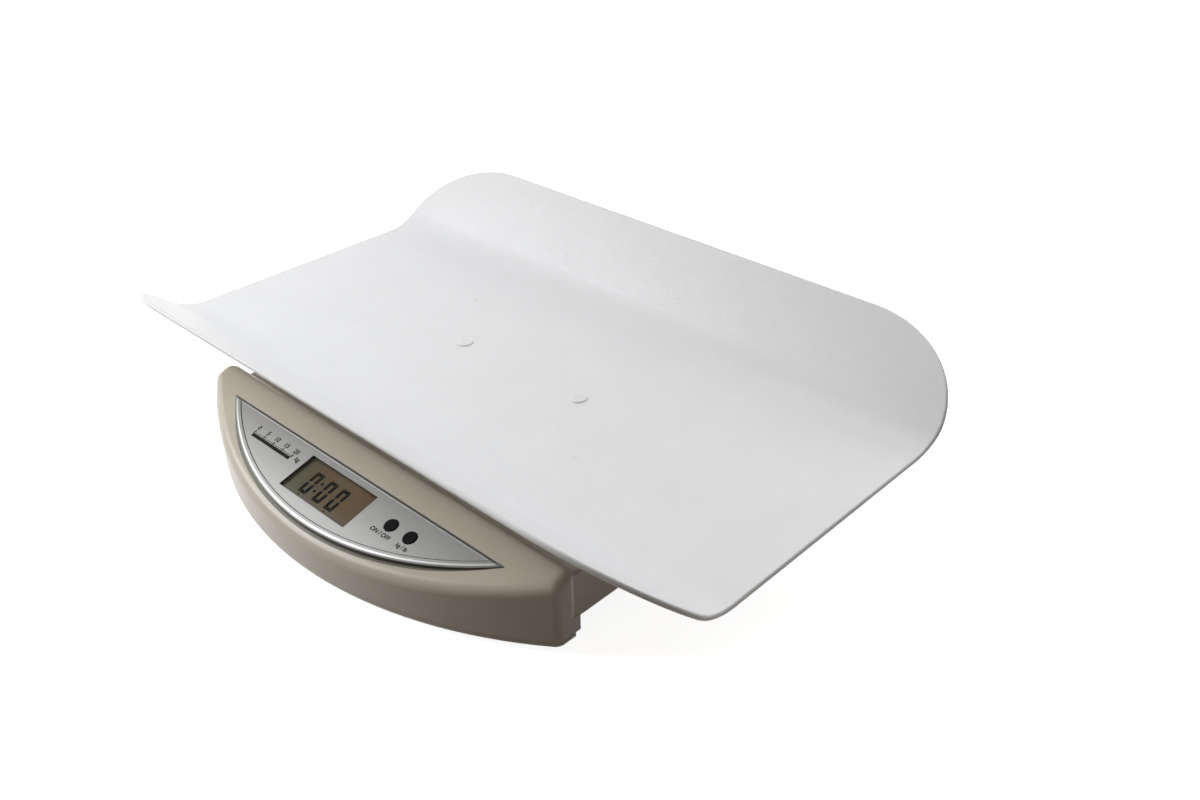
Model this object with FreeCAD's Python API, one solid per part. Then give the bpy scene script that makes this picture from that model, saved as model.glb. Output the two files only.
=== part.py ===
"""Electronic baby weighing scale: a trough-shaped tray on a load cell, in a low
two-part housing with a bow-fronted display console.

Frame: origin at the middle of the whole footprint, on the surface the scale
stands on.  +X runs along the tray, to the right of somebody who reads the
display, +Y runs from the display to the back and +Z is up.  Millimetres.
"""
import FreeCAD, Part
import math
import os

V = FreeCAD.Vector

# ---------------------------------------------------------------- tray
TRAY_LENGTH = 550.0         # along X, lip to lip ends open
TRAY_WALL = 3.8
TRAY_FLOOR_DEPTH = 191.2    # flat floor between the two bends
TRAY_FLOOR_Z = 62.2         # upper face of the floor
LIP_RUN = 64.6              # straight part of a lip, along its slope
LIP_ANGLE = 40.45           # degrees above the floor
BEND_RADIUS = 44.9          # upper face, floor to lip
CORNER_ALONG_X = 87.7       # half axes of the elliptical corners
CORNER_ALONG_LIP = 73.5
TRAY_EDGE_ROUND = 1.7
TRAY_SCREW_X = 60.8         # the two tray screws, left and right of the middle
TRAY_BOSS_RADIUS = 9.0      # round the screw, under the floor
TRAY_SCREW_SEAT = 1.4       # seat of the screw head above the boss's end
TRAY_SCREW_HEAD = 4.5
TRAY_SCREW_HEAD_HEIGHT = 2.4
CAP_RADIUS = 5.9
CAP_HEIGHT = 1.0            # above the floor
CAP_SEAT_DEPTH = 0.8        # recess in the floor that the cap's rim sits in
CAP_PLUG_DEPTH = 0.9
CAP_LEDGE = 0.8             # the rim is wider than the plug by this much
CAP_EDGE_ROUND = 0.8
CAP_CLEARANCE = 0.1
RIM_FACE_SHARE = 0.6        # a face this narrow, as a share of the wall, is a rim face

# ---------------------------------------------------------------- housing
HOUSING_WIDTH = 368.0
CONSOLE_LEAD = 30.6         # console front ahead of the tray's front lip
CONSOLE_DEPTH = 78.6        # bow's apex to the console's rear wall
BOW_DEPTH = 61.0            # bow's apex to where its arc meets the sides
HOUSING_DEPTH = 315.6       # bow's apex to the back of the deck
WALL = 2.5
HOUSING_EDGE_ROUND = 8.0
TOP_SLOPE = 19.5            # console top, degrees
PANEL_SLOPE = 15.5          # bezel plane, degrees
PANEL_SETBACK = 54.0        # apex to the straight edge of the bezel
PANEL_EDGE_Z = 49.8         # height of that edge
SKIRT_Z = 3.0               # lowest edge of the console
PARTING_Z = 7.5             # between upper and lower cover
PARTING_GAP = 0.5
LOWER_INSET = 0.3           # lower cover stands back from the upper one
LOWER_TOP_BEVEL = 0.7       # its outer edges, at the parting line
LOWER_FOOT_BEVEL = 1.2      # and underneath
LOWER_REAR_STEP = 3.8       # lower cover ends this far ahead of the console's rear wall
DECK_BOTTOM_Z = 18.7
DECK_Z = 43.0
DECK_DRAFT = 9.0            # each side leans in by this much over its height
DECK_CORNER_RADIUS = 30.0
DECK_EDGE_ROUND = 3.0
DECK_FRONT_OVERLAP = 8.0    # deck block reaches this far into the console
LINK_INSET = 2.25           # strip that joins the console's floor to the deck's
COVER_CLEARANCE = 0.2       # lower cover inside the upper one
LOCATING_LIP = 1.2
LOCATING_LIP_RISE = 2.0

# ---------------------------------------------------------------- bezel and display
BEZEL_HALF_WIDTH = 145.5
BEZEL_DROP = 50.2           # straight edge to the arc's deepest point
BEZEL_THICKNESS = 1.2
BEZEL_BEVEL = 2.3           # width of the bevel along the arc
BEZEL_BACK_BEVEL = 1.5      # and along the straight edge
BEZEL_BEVEL_DEPTH = 0.9
BEZEL_SKIRT = 1.2           # wall under the plate's edge, round the boss
SKIRT_CLEARANCE = 0.15      # boss inside that wall
BEZEL_RIM = 4.2             # width of the raised rim along the arc
BEZEL_BACK_RIM = 2.2        # and along the straight edge
BEZEL_RECESS = 0.35
ADHESIVE = 0.3
BOSS_HEIGHT = 12.0
WINDOW_WIDTH = 71.1
WINDOW_HEIGHT = 30.2
WINDOW_X = -2.8             # window centre
WINDOW_DROP = 21.9          # window centre below the straight edge
WINDOW_CORNER = 0.8
LENS_MARGIN = 4.2           # lens reaches this far past the window
LENS_THICKNESS = 1.5
LENS_CLEARANCE = 0.2
GASKET_THICKNESS = 0.4
GASKET_WIDTH = 2.8
LCD_SETBACK = 0.8           # glass edge inside the lens edge
LCD_THICKNESS = 2.8
BOARD_THICKNESS = 1.6
BOARD_DEPTH = 10.0          # bezel face to the board's upper face
BOARD_LEFT = -54.0
BOARD_RIGHT = 88.0
BOARD_TOP_DROP = 1.0
BOARD_BOTTOM_DROP = 40.0
BOARD_AIR = 0.5             # between the cover's pocket and the board
BOARD_SCREW_RADIUS = 1.2
BOARD_SCREW_BITE = 3.5
BOARD_SCREW_HEAD = 2.4
BOARD_SCREW_HEAD_HEIGHT = 1.6
BOARD_POST_RADIUS = 3.0
BOARD_POST_INSET = 4.6      # post centre from the board's edges
CONNECTOR_WIDTH = 2.2
CONNECTOR_END_ROOM = 1.0
CONNECTOR_CLEARANCE = 0.1
HOLDER_BAR = 3.2
MAIN_CHIP_X = 28.0
MAIN_CHIP_DROP = 24.0
MAIN_CHIP_SIZE = 12.0
MAIN_CHIP_HEIGHT = 1.6
MEMORY_CHIP_X = -18.0
MEMORY_CHIP_DROP = 24.5
MEMORY_CHIP_WIDTH = 8.0
MEMORY_CHIP_DEPTH = 5.0
MEMORY_CHIP_HEIGHT = 1.4
CRYSTAL_X = 51.5
CRYSTAL_DROP = 28.0
CRYSTAL_WIDTH = 11.0
CRYSTAL_DEPTH = 4.0
CRYSTAL_HEIGHT = 3.0
CAPACITOR_X = -38.0
CAPACITOR_PITCH = 8.0
CAPACITOR_DROP = 30.0
CAPACITOR_RADIUS = 2.5
CAPACITOR_HEIGHT = 6.5
BATTERY_PLUG_X = -30.0      # plugs on the board, for the three leads
CELL_PLUG_X = -10.0
INLET_PLUG_X = 10.0
PLUG_DROP = 9.0
PLUG_WIDTH = 8.0
PLUG_DEPTH = 6.0
PLUG_HEIGHT = 5.0

# ---------------------------------------------------------------- buttons
ON_OFF_X = 59.4
UNIT_X = 78.1
BUTTON_DROP = 17.8
BUTTON_RADIUS = 4.9
BUTTON_CLEARANCE = 0.3
BUTTON_PROUD = 0.4
BUTTON_TRAVEL = 0.8
BUTTON_FLANGE = 1.3         # flange beyond the cap
BUTTON_FLANGE_THICKNESS = 1.0
BUTTON_GUIDE_DEPTH = 4.0    # end of the guide bore, from the bezel face
BUTTON_EDGE_ROUND = 0.5
SWITCH_SIZE = 6.0
SWITCH_HEIGHT = 3.4
STEM_RADIUS = 1.75
STEM_CLEARANCE = 0.3
STEM_ENGAGEMENT = 1.5       # stem inside the switch body at rest

# ---------------------------------------------------------------- load path
PLATE_SIDE_ROOM = 84.0      # plate's ends to the housing's sides
PLATE_DEPTH = 130.0
PLATE_THICKNESS = 3.0
PLATE_CORNER = 6.0
CELL_LENGTH = 80.0
CELL_SECTION = 12.7
CELL_FLEXURE_RADIUS = 4.6
CELL_FLEXURE_PITCH = 13.0
CELL_SLOT_HEIGHT = 4.6
GAUGE_COVER = 1.0           # potting over the strain gauges
GAUGE_COVER_MARGIN = 1.0
SPACER_LENGTH = 26.0
SPACER_DEPTH = 18.0
LOWER_SPACER = 3.0
CELL_HOLE_EDGE = 5.0        # first bolt hole from the bar's end
CELL_HOLE_PITCH = 15.0
CELL_BOLT_RADIUS = 2.4
BOLT_HEAD_RADIUS = 4.2
BOLT_HEAD_HEIGHT = 2.6
THREAD_CLEARANCE = 0.05
FRAME_LENGTH = 250.0
FRAME_DEPTH = 150.0
FRAME_PLATE = 2.4
FRAME_GAP = 5.0             # deck to the frame's underside
FRAME_CORNER = 12.0
FRAME_HOLE = 9.0            # lightening holes in the corner bays
RIB = 3.0
RIB_BESIDE_SCREW = 6.0
PAD_THICKNESS = 2.0
PAD_LENGTH = 26.0
PAD_DEPTH = 14.0
PAD_MARGIN = 1.0            # seat's edge round the pad
INSERT_RADIUS = 4.0
TRAY_SCREW_RADIUS = 2.4
STOP_INSET = 8.0            # from the plate's ends and long edges
STOP_RADIUS = 2.5
TRAY_TRAVEL = 0.8           # frame to the overload stops
STOP_NUT = 8.0              # across flats
STOP_NUT_HEIGHT = 4.0
DECK_OPENING_MARGIN = 3.0

# ---------------------------------------------------------------- feet and fasteners
FOOT_RADIUS = 10.0
FOOT_PROUD = 3.0
FOOT_SEAT = 2.0             # depth of the foot in its recess
FOOT_WALL = 3.0
FOOT_EDGE_ROUND = 1.0
FOOT_CLEARANCE = 0.1
FOOT_INSET = 34.0           # foot centre to the housing's side
FRONT_FOOT_SETBACK = 58.6   # from the bow's apex
REAR_FOOT_MARGIN = 30.0     # from the back of the deck
CASE_SCREW_RADIUS = 1.45
CASE_SCREW_CLEARANCE = 0.2
CASE_SCREW_HEAD = 3.0
CASE_SCREW_HEAD_HEIGHT = 1.8
CASE_SCREW_SINK = 0.4       # head below the surface
CASE_SCREW_LENGTH = 12.0
CASE_BOSS_RADIUS = 4.0
FRONT_SCREW_X = 105.0
FRONT_SCREW_SETBACK = 28.6  # from the bow's apex
SIDE_SCREW_INSET = 13.0     # from the housing's side
SIDE_SCREW_MARGIN = 11.0    # from the console's rear wall
DECK_SCREW_INSET = 24.0
DECK_SCREW_SETBACK = 130.6
REAR_SCREW_INSET = 64.0
REAR_SCREW_MARGIN = 21.0    # from the back of the deck
HEAD_CLEARANCE = 0.3
SCREW_TIP_ROOM = 1.0
SCREW_PAD = 2.0
SCREW_PAD_RADIUS = 5.0
PLATE_SCREW_RADIUS = 1.9
PLATE_SCREW_HEAD = 3.6
PLATE_SCREW_HEAD_HEIGHT = 1.8
PLATE_SCREW_ROUND = 0.6
PLATE_SCREW_Y = 19.0        # from the plate's middle

# ---------------------------------------------------------------- power
CELL_RADIUS = 7.25          # AA cells
BATTERY_LENGTH = 50.5
BATTERY_EDGE_ROUND = 0.6
BATTERY_PITCH = 15.5
BATTERY_COUNT = 4
NUB = 1.0                   # raised end of a cell
NUB_RADIUS = 2.8
CONTACT_PLATE = 0.5
CONTACT_HALF = 5.0
CONTACT_LOW = 3.5           # contact's lower edge under the cell's axis
SPRING_BASE = 4.6
SPRING_TIP = 2.8
SPRING_WALL = 0.8
BATTERY_BOX_INSET = 13.0    # from the housing's left side
BATTERY_BOX_SETBACK = 170.6  # front inside face from the bow's apex
BATTERY_SIDE_ROOM = 1.0
BATTERY_END_ROOM = 6.5       # springs and plates together
BATTERY_LIFT = 0.3
BATTERY_HEADROOM = 0.6
BOX_WALL = 2.0
DOOR_THICKNESS = 2.0
DOOR_CLEARANCE = 0.4
TAB_WIDTH = 3.6             # fits between two cells
TAB_REACH = 2.6
TAB_ROOT = 2.0
TAB_THICKNESS = 1.2
TAB_LIFT = 0.3
TAB_SLOT_HEIGHT = 3.4
LATCH_WIDTH = 3.6
LATCH_THICKNESS = 1.2
LATCH_HEIGHT = 5.0
LATCH_SETBACK = 1.0
GRIP_LENGTH = 18.0          # finger grooves on the door
GRIP_WIDTH = 1.0
GRIP_PITCH = 3.0
GRIP_DEPTH = 0.5
GRIP_COUNT = 3
GRIP_MARGIN = 7.0           # from the latch side's edge
JACK_X = 60.0
JACK_Z = 30.0
JACK_WIDTH = 9.0
JACK_HEIGHT = 11.0
JACK_LENGTH = 13.0
JACK_NOSE_RADIUS = 3.8
JACK_BORE_RADIUS = 2.75
JACK_BORE_DEPTH = 9.0
JACK_PIN_RADIUS = 1.0
JACK_PIN_SETBACK = 1.0      # pin's tip behind the mouth
JACK_CLEARANCE = 0.3        # to the rear wall
PEDESTAL_SETBACK = 2.0
LEAD_RADIUS = 1.5
LEAD_RUN_OUT = 10.0         # straight where a lead leaves or meets its plug
BEND_SHARE = 0.45           # of the shorter run beside a bend

# ---------------------------------------------------------------- modelling aids
LAP = 1.0                   # fused blocks overlap, and cutters overshoot, by this much
TINY = 0.01
REACH = 40.0                # past any wall
FAR = 400.0                 # past the whole object

# ---------------------------------------------------------------- derived places
LIP_RAD = math.radians(LIP_ANGLE)
LIP_SIN = math.sin(LIP_RAD)
LIP_COS = math.cos(LIP_RAD)
LIP_RISE = LIP_RUN * LIP_SIN + BEND_RADIUS * (1 - LIP_COS)
LIP_DEPTH = LIP_RUN * LIP_COS + BEND_RADIUS * LIP_SIN
TRAY_DEPTH = TRAY_FLOOR_DEPTH + 2 * LIP_DEPTH
RIM_ROUND = min(TRAY_EDGE_ROUND, 0.45 * TRAY_WALL)
# the outer face of a lip reaches further back than its inner edge
EDGE_REACH = (TRAY_WALL - RIM_ROUND) * LIP_SIN + RIM_ROUND * (1 - LIP_COS)

FRONT_Y = -(CONSOLE_LEAD + TRAY_DEPTH + EDGE_REACH) / 2
TRAY_FRONT_Y = FRONT_Y + CONSOLE_LEAD
TRAY_MID_Y = TRAY_FRONT_Y + TRAY_DEPTH / 2
BOW_RADIUS = (HOUSING_WIDTH ** 2 / 4 + BOW_DEPTH ** 2) / (2 * BOW_DEPTH)
BOW_Y = FRONT_Y + BOW_RADIUS
CONSOLE_REAR_Y = FRONT_Y + CONSOLE_DEPTH
LOWER_REAR_Y = CONSOLE_REAR_Y - LOWER_REAR_STEP
HOUSING_REAR_Y = FRONT_Y + HOUSING_DEPTH
PANEL_Y = FRONT_Y + PANEL_SETBACK
HALF_WIDTH = HOUSING_WIDTH / 2
CORNER_Y = (FRONT_Y + BOW_DEPTH + LOWER_REAR_Y) / 2      # between front and rear corners

SEAT_DEPTH = BEZEL_THICKNESS + ADHESIVE          # bezel face to the boss
BOSS_INSET = BEZEL_SKIRT + SKIRT_CLEARANCE       # boss edge inside the bezel edge
# console top where the bezel's straight edge lies on it
TOP_EDGE_Z = PANEL_EDGE_Z - SEAT_DEPTH / math.cos(math.radians(PANEL_SLOPE))
TRAY_UNDER_Z = TRAY_FLOOR_Z - TRAY_WALL
FRAME_TOP_Z = TRAY_UNDER_Z - PAD_THICKNESS
FRAME_BOTTOM_Z = DECK_Z + FRAME_GAP
FLOOR_TOP_Z = DECK_BOTTOM_Z + WALL               # deck floor, inside
PLATE_TOP_Z = FLOOR_TOP_Z + PLATE_THICKNESS
CELL_BOTTOM_Z = PLATE_TOP_Z + LOWER_SPACER
CELL_TOP_Z = CELL_BOTTOM_Z + CELL_SECTION
PLATE_HALF = HALF_WIDTH - PLATE_SIDE_ROOM
STOP_X = PLATE_HALF - STOP_INSET
STOP_Y = PLATE_DEPTH / 2 - STOP_INSET
BUTTON_XS = {"on_off": ON_OFF_X, "unit": UNIT_X}
PLUG_XS = {"battery": BATTERY_PLUG_X, "load_cell": CELL_PLUG_X, "inlet": INLET_PLUG_X}


def y_from_front(setback):
    return FRONT_Y + setback


def box(x0, x1, y0, y1, z0, z1):
    return Part.makeBox(x1 - x0, y1 - y0, z1 - z0, V(x0, y0, z0))


def disc(x, y, z0, z1, radius):
    return Part.makeCylinder(radius, z1 - z0, V(x, y, z0))


def fuse(first, *others):
    return first.fuse(list(others)).removeSplitter() if others else first


def group(shapes):
    return Part.makeCompound(list(shapes))


def on_panel(shape):
    """Move a shape from panel axes (x, up the slope, out of the face) to the bezel plane."""
    tilt = FreeCAD.Rotation(V(1, 0, 0), PANEL_SLOPE)
    moved = shape.copy()
    moved.Placement = FreeCAD.Placement(V(0, PANEL_Y, PANEL_EDGE_Z), tilt)
    return moved


def panel_point(x, drop, depth):
    """World point at x, drop down the panel's slope and depth under its face."""
    tilt = math.radians(PANEL_SLOPE)
    return V(x, PANEL_Y - drop * math.cos(tilt) + depth * math.sin(tilt),
             PANEL_EDGE_Z - drop * math.sin(tilt) - depth * math.cos(tilt))


def panel_box(x0, x1, drop0, drop1, depth0, depth1):
    return box(x0, x1, -drop1, -drop0, -depth1, -depth0)


def panel_disc(x, drop, depth0, depth1, radius):
    return disc(x, -drop, -depth1, -depth0, radius)


# ---------------------------------------------------------------- housing forms
def console_outline(inset, rear_y):
    """Bow-fronted outline: a circular front, two straight sides and a straight back."""
    radius = BOW_RADIUS - inset
    half = HALF_WIDTH - inset
    corner_y = BOW_Y - math.sqrt(radius ** 2 - half ** 2)
    left, right = V(-half, corner_y, 0), V(half, corner_y, 0)
    bow = Part.Arc(left, V(0, BOW_Y - radius, 0), right).toShape()
    corners = [right, V(half, rear_y, 0), V(-half, rear_y, 0), left]
    return Part.Wire([bow] + Part.makePolygon(corners).Edges)


def prism(wire, z0, z1):
    face = Part.Face(wire)
    face.translate(V(0, 0, z0))
    return face.extrude(V(0, 0, z1 - z0))


def above_top_plane(inset):
    """Everything over the console's sloping top, lowered by inset."""
    block = Part.makeBox(2 * FAR, 2 * FAR, FAR, V(-FAR, -FAR, -inset))
    tilt = FreeCAD.Rotation(V(1, 0, 0), TOP_SLOPE)
    block.Placement = FreeCAD.Placement(V(0, PANEL_Y, TOP_EDGE_Z), tilt)
    return block


def is_upright(edge):
    if not isinstance(edge.Curve, Part.Line):
        return False
    return abs(edge.Curve.Direction.z) > 0.99


def console_form(inset):
    """The console wedge, rounded on its uprights and round its top."""
    wire = console_outline(inset, CONSOLE_REAR_Y - inset)
    form = prism(wire, SKIRT_Z - REACH, DECK_Z + REACH).cut(above_top_plane(inset))
    low_z = form.BoundBox.ZMin
    edges = [e for e in form.Edges if is_upright(e) or e.BoundBox.ZMin > low_z + LAP]
    return form.makeFillet(HOUSING_EDGE_ROUND - inset, edges)


def deck_outline(lean, inset, z):
    """Rounded rectangle of the deck at one height; lean is how far it has drawn in."""
    half = HALF_WIDTH - lean - inset
    front = CONSOLE_REAR_Y - DECK_FRONT_OVERLAP + inset
    rear = HOUSING_REAR_Y - lean - inset
    radius = DECK_CORNER_RADIUS - inset
    turn = radius * (1 - math.sqrt(0.5))
    a, b = V(half, front, z), V(half, rear - radius, z)
    c, d = V(half - turn, rear - turn, z), V(half - radius, rear, z)
    mirror = [V(-p.x, p.y, p.z) for p in (a, b, c, d)]
    return Part.Wire([
        Part.LineSegment(a, b).toShape(), Part.Arc(b, c, d).toShape(),
        Part.LineSegment(d, mirror[3]).toShape(),
        Part.Arc(mirror[3], mirror[2], mirror[1]).toShape(),
        Part.LineSegment(mirror[1], mirror[0]).toShape(),
        Part.LineSegment(mirror[0], a).toShape()])


def deck_form(inset, top_z):
    """The deck block behind the console, with leaning sides."""
    lean = DECK_DRAFT * (top_z - DECK_BOTTOM_Z) / (DECK_Z - DECK_BOTTOM_Z)
    return Part.makeLoft([deck_outline(0, inset, DECK_BOTTOM_Z),
                          deck_outline(lean, inset, top_z)], True, True)


def rounded_deck():
    form = deck_form(0, DECK_Z)
    rear = CONSOLE_REAR_Y - DECK_FRONT_OVERLAP
    edges = [e for e in form.Edges
             if e.BoundBox.ZMin > DECK_Z - TINY and e.BoundBox.YMax > rear + LAP]
    return form.makeFillet(DECK_EDGE_ROUND, edges)


def square_rear():
    """Foot of the console's rear wall, with square corners where the deck runs on above it."""
    return box(-HALF_WIDTH, HALF_WIDTH, CONSOLE_REAR_Y - HOUSING_EDGE_ROUND, CONSOLE_REAR_Y,
               PARTING_Z, DECK_BOTTOM_Z + LAP)


def inner_space():
    """Hollow of the housing: console and deck, each a wall's thickness inside."""
    console = console_form(WALL)
    deck = deck_form(WALL, DECK_Z - WALL)
    return console.fuse(deck)


def bezel_outline(arc_inset, back_inset):
    """Bow shape of the bezel: straight at the back, one arc in front, two pointed tips."""
    radius = (BEZEL_HALF_WIDTH ** 2 + BEZEL_DROP ** 2) / (2 * BEZEL_DROP)
    centre = radius - BEZEL_DROP
    radius -= arc_inset
    half = math.sqrt(radius ** 2 - (centre + back_inset) ** 2)
    left, right = V(-half, -back_inset, 0), V(half, -back_inset, 0)
    arc = Part.Arc(left, V(0, centre - radius, 0), right).toShape()
    return Part.Wire([arc, Part.LineSegment(right, left).toShape()])


SCREW_PAIRS = [(FRONT_SCREW_X, y_from_front(FRONT_SCREW_SETBACK), SKIRT_Z),
               (HALF_WIDTH - SIDE_SCREW_INSET, CONSOLE_REAR_Y - SIDE_SCREW_MARGIN, SKIRT_Z),
               (HALF_WIDTH - DECK_SCREW_INSET, y_from_front(DECK_SCREW_SETBACK), DECK_BOTTOM_Z),
               (HALF_WIDTH - REAR_SCREW_INSET, HOUSING_REAR_Y - REAR_SCREW_MARGIN, DECK_BOTTOM_Z)]
CASE_SCREWS = [(side * x, y, z) for x, y, z in SCREW_PAIRS for side in (-1, 1)]
BOARD_POSTS = [(x, drop) for x in (BOARD_LEFT + BOARD_POST_INSET, BOARD_RIGHT - BOARD_POST_INSET)
               for drop in (BOARD_TOP_DROP + BOARD_POST_INSET,
                            BOARD_BOTTOM_DROP - BOARD_POST_INSET)]
STOPS = [(sx * STOP_X, TRAY_MID_Y + sy * STOP_Y) for sx in (-1, 1) for sy in (-1, 1)]
CELL_LEFT = -CELL_LENGTH / 2
FIXED_BOLTS = [CELL_LEFT + CELL_HOLE_EDGE + i * CELL_HOLE_PITCH for i in range(2)]
FREE_BOLTS = [-x for x in FIXED_BOLTS]


def spacer_span(bolts):
    middle = sum(bolts) / 2
    return middle - SPACER_LENGTH / 2, middle + SPACER_LENGTH / 2


def lens_box(margin, depth0, depth1):
    half_w = WINDOW_WIDTH / 2 + margin
    half_h = WINDOW_HEIGHT / 2 + margin
    return panel_box(WINDOW_X - half_w, WINDOW_X + half_w,
                     WINDOW_DROP - half_h, WINDOW_DROP + half_h, depth0, depth1)


def upper_cover():
    outer = fuse(console_form(0), rounded_deck(), square_rear())
    boss = on_panel(prism(bezel_outline(BOSS_INSET, BOSS_INSET), -SEAT_DEPTH - BOSS_HEIGHT,
                          -SEAT_DEPTH))
    cover = outer.fuse(boss).cut(inner_space())
    # open underneath: the console down to the parting line, the deck down to its own edge
    cover = cover.cut(box(-FAR, FAR, -FAR, FAR, -FAR, PARTING_Z))
    cover = cover.cut(box(-FAR, FAR, CONSOLE_REAR_Y, FAR, -FAR, DECK_BOTTOM_Z))
    # posts for the board and bosses for the case screws, trimmed inside the wall
    skin = console_form(WALL / 2).fuse(deck_form(WALL / 2, DECK_Z - WALL / 2))
    posts = [on_panel(panel_disc(x, drop, 0, BOARD_DEPTH, BOARD_POST_RADIUS))
             for x, drop in BOARD_POSTS]
    posts += [disc(x, y, z + WALL + SCREW_PAD, DECK_Z + REACH, CASE_BOSS_RADIUS)
              for x, y, z in CASE_SCREWS]
    cover = fuse(cover, *[post.common(skin) for post in posts])
    return cover.cut(upper_cover_holes())


def upper_cover_holes():
    cuts = [on_panel(lens_box(LENS_MARGIN + LENS_CLEARANCE, 0, BOARD_DEPTH - BOARD_AIR))]
    guide = BUTTON_RADIUS + BUTTON_CLEARANCE
    for x in BUTTON_XS.values():
        cuts.append(on_panel(panel_disc(x, BUTTON_DROP, 0, BOARD_DEPTH, guide)))
        cuts.append(on_panel(panel_disc(x, BUTTON_DROP, BUTTON_GUIDE_DEPTH, BOARD_DEPTH,
                                        guide + BUTTON_FLANGE)))
    for x, drop in BOARD_POSTS:
        radius = BOARD_SCREW_RADIUS + THREAD_CLEARANCE
        cuts.append(on_panel(panel_disc(x, drop, BOARD_DEPTH - BOARD_SCREW_BITE - SCREW_TIP_ROOM,
                                        BOARD_DEPTH + LAP, radius)))
    for x, y, z in CASE_SCREWS:
        radius = CASE_SCREW_RADIUS + THREAD_CLEARANCE
        cuts.append(disc(x, y, z, z + CASE_SCREW_LENGTH + SCREW_TIP_ROOM, radius))
    low, high = DECK_Z - 2 * WALL, DECK_Z + LAP
    for x, y in STOPS:
        cuts.append(disc(x, y, low, high, STOP_RADIUS + DECK_OPENING_MARGIN))
    x0, x1 = spacer_span(FREE_BOLTS)
    m = DECK_OPENING_MARGIN
    cuts.append(box(x0 - m, x1 + m, TRAY_MID_Y - SPACER_DEPTH / 2 - m,
                    TRAY_MID_Y + SPACER_DEPTH / 2 + m, low, high))
    cuts.append(Part.makeCylinder(JACK_NOSE_RADIUS + THREAD_CLEARANCE, REACH,
                                  V(JACK_X, jack_face_y(), JACK_Z), V(0, 1, 0)))
    return group(cuts)


# ---------------------------------------------------------------- lower cover
def foot_places():
    x = HALF_WIDTH - FOOT_INSET
    rows = {"front": y_from_front(FRONT_FOOT_SETBACK), "rear": HOUSING_REAR_Y - REAR_FOOT_MARGIN}
    return {"foot_%s_%s" % (row, side): (sign * x, y) for row, y in rows.items()
            for side, sign in (("left", -1), ("right", 1))}


BATTERY_BOX_WIDTH = BATTERY_COUNT * BATTERY_PITCH + BATTERY_SIDE_ROOM
BATTERY_X0 = BATTERY_BOX_INSET - HALF_WIDTH
BATTERY_X1 = BATTERY_X0 + BATTERY_BOX_WIDTH
BATTERY_Y0 = y_from_front(BATTERY_BOX_SETBACK)
BATTERY_Y1 = BATTERY_Y0 + BATTERY_LENGTH + BATTERY_END_ROOM
BATTERY_Z = DECK_BOTTOM_Z + DOOR_THICKNESS + BATTERY_LIFT + CELL_RADIUS
BATTERY_ROOF_Z = BATTERY_Z + CELL_RADIUS + BATTERY_HEADROOM
BATTERY_XS = [BATTERY_X0 + BATTERY_SIDE_ROOM / 2 + BATTERY_PITCH * (i + 0.5)
              for i in range(BATTERY_COUNT)]
TAB_XS = (BATTERY_XS[0] + BATTERY_PITCH / 2, BATTERY_XS[-1] - BATTERY_PITCH / 2)


def lower_cover():
    side = WALL + COVER_CLEARANCE
    pan = bevelled_pan(LOWER_INSET, SKIRT_Z, PARTING_Z - PARTING_GAP)
    lip = rounded_pan(side, SKIRT_Z, PARTING_Z + LOCATING_LIP_RISE)
    band = box(-FAR, FAR, LOWER_REAR_Y - WALL, LOWER_REAR_Y, SKIRT_Z, FLOOR_TOP_Z)
    rise = rounded_pan(side, SKIRT_Z, FLOOR_TOP_Z).common(band)
    hollow = prism(console_outline(side + LOCATING_LIP, LOWER_REAR_Y - WALL),
                   SKIRT_Z + WALL, FLOOR_TOP_Z + LAP)
    slab = box(-FAR, FAR, LOWER_REAR_Y - WALL, FAR, DECK_BOTTOM_Z, FLOOR_TOP_Z)
    floor = deck_form(side, DECK_Z).common(slab)
    link_half = HALF_WIDTH - side - LINK_INSET
    link = box(-link_half, link_half, LOWER_REAR_Y - WALL, CONSOLE_REAR_Y, DECK_BOTTOM_Z,
               FLOOR_TOP_Z)
    cover = fuse(pan, lip).cut(hollow)
    cover = fuse(cover, rise, floor, link)
    cover = fuse(cover, *lower_cover_pads())
    cover = fuse(cover, battery_box())
    return cover.cut(lower_cover_holes())


def bevelled_pan(inset, z0, z1):
    """Outer slice of the lower cover: round front corners, square rear ones, bevelled edges."""
    pan = prism(console_outline(inset, LOWER_REAR_Y), z0, z1)
    pan = pan.makeFillet(HOUSING_EDGE_ROUND - inset,
                         [e for e in pan.Edges if is_upright(e) and e.BoundBox.YMin < CORNER_Y])
    top = [e for e in pan.Edges if e.BoundBox.ZMin > z1 - TINY]
    pan = pan.makeChamfer(LOWER_TOP_BEVEL, top)
    foot = [e for e in pan.Edges if e.BoundBox.ZMax < z0 + TINY]
    return pan.makeChamfer(LOWER_FOOT_BEVEL, foot)


def rounded_pan(inset, z0, z1):
    """Solid slice of the lower cover's console part, with the housing's round corners."""
    pan = prism(console_outline(inset, LOWER_REAR_Y), z0, z1)
    return pan.makeFillet(HOUSING_EDGE_ROUND - inset, [e for e in pan.Edges if is_upright(e)])


def lower_cover_pads():
    pads = [disc(x, y, z, z + WALL + SCREW_PAD, SCREW_PAD_RADIUS) for x, y, z in CASE_SCREWS]
    for name, (x, y) in foot_places().items():
        top = FLOOR_TOP_Z if "rear" in name else SKIRT_Z + WALL + FOOT_SEAT
        pads.append(disc(x, y, SKIRT_Z, top, FOOT_RADIUS + FOOT_WALL))
    # pedestal under the power inlet
    pads.append(box(JACK_X - JACK_WIDTH / 2, JACK_X + JACK_WIDTH / 2, jack_face_y() - JACK_LENGTH,
                    jack_face_y() - PEDESTAL_SETBACK, FLOOR_TOP_Z - LAP,
                    JACK_Z - JACK_HEIGHT / 2))
    return pads


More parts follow.
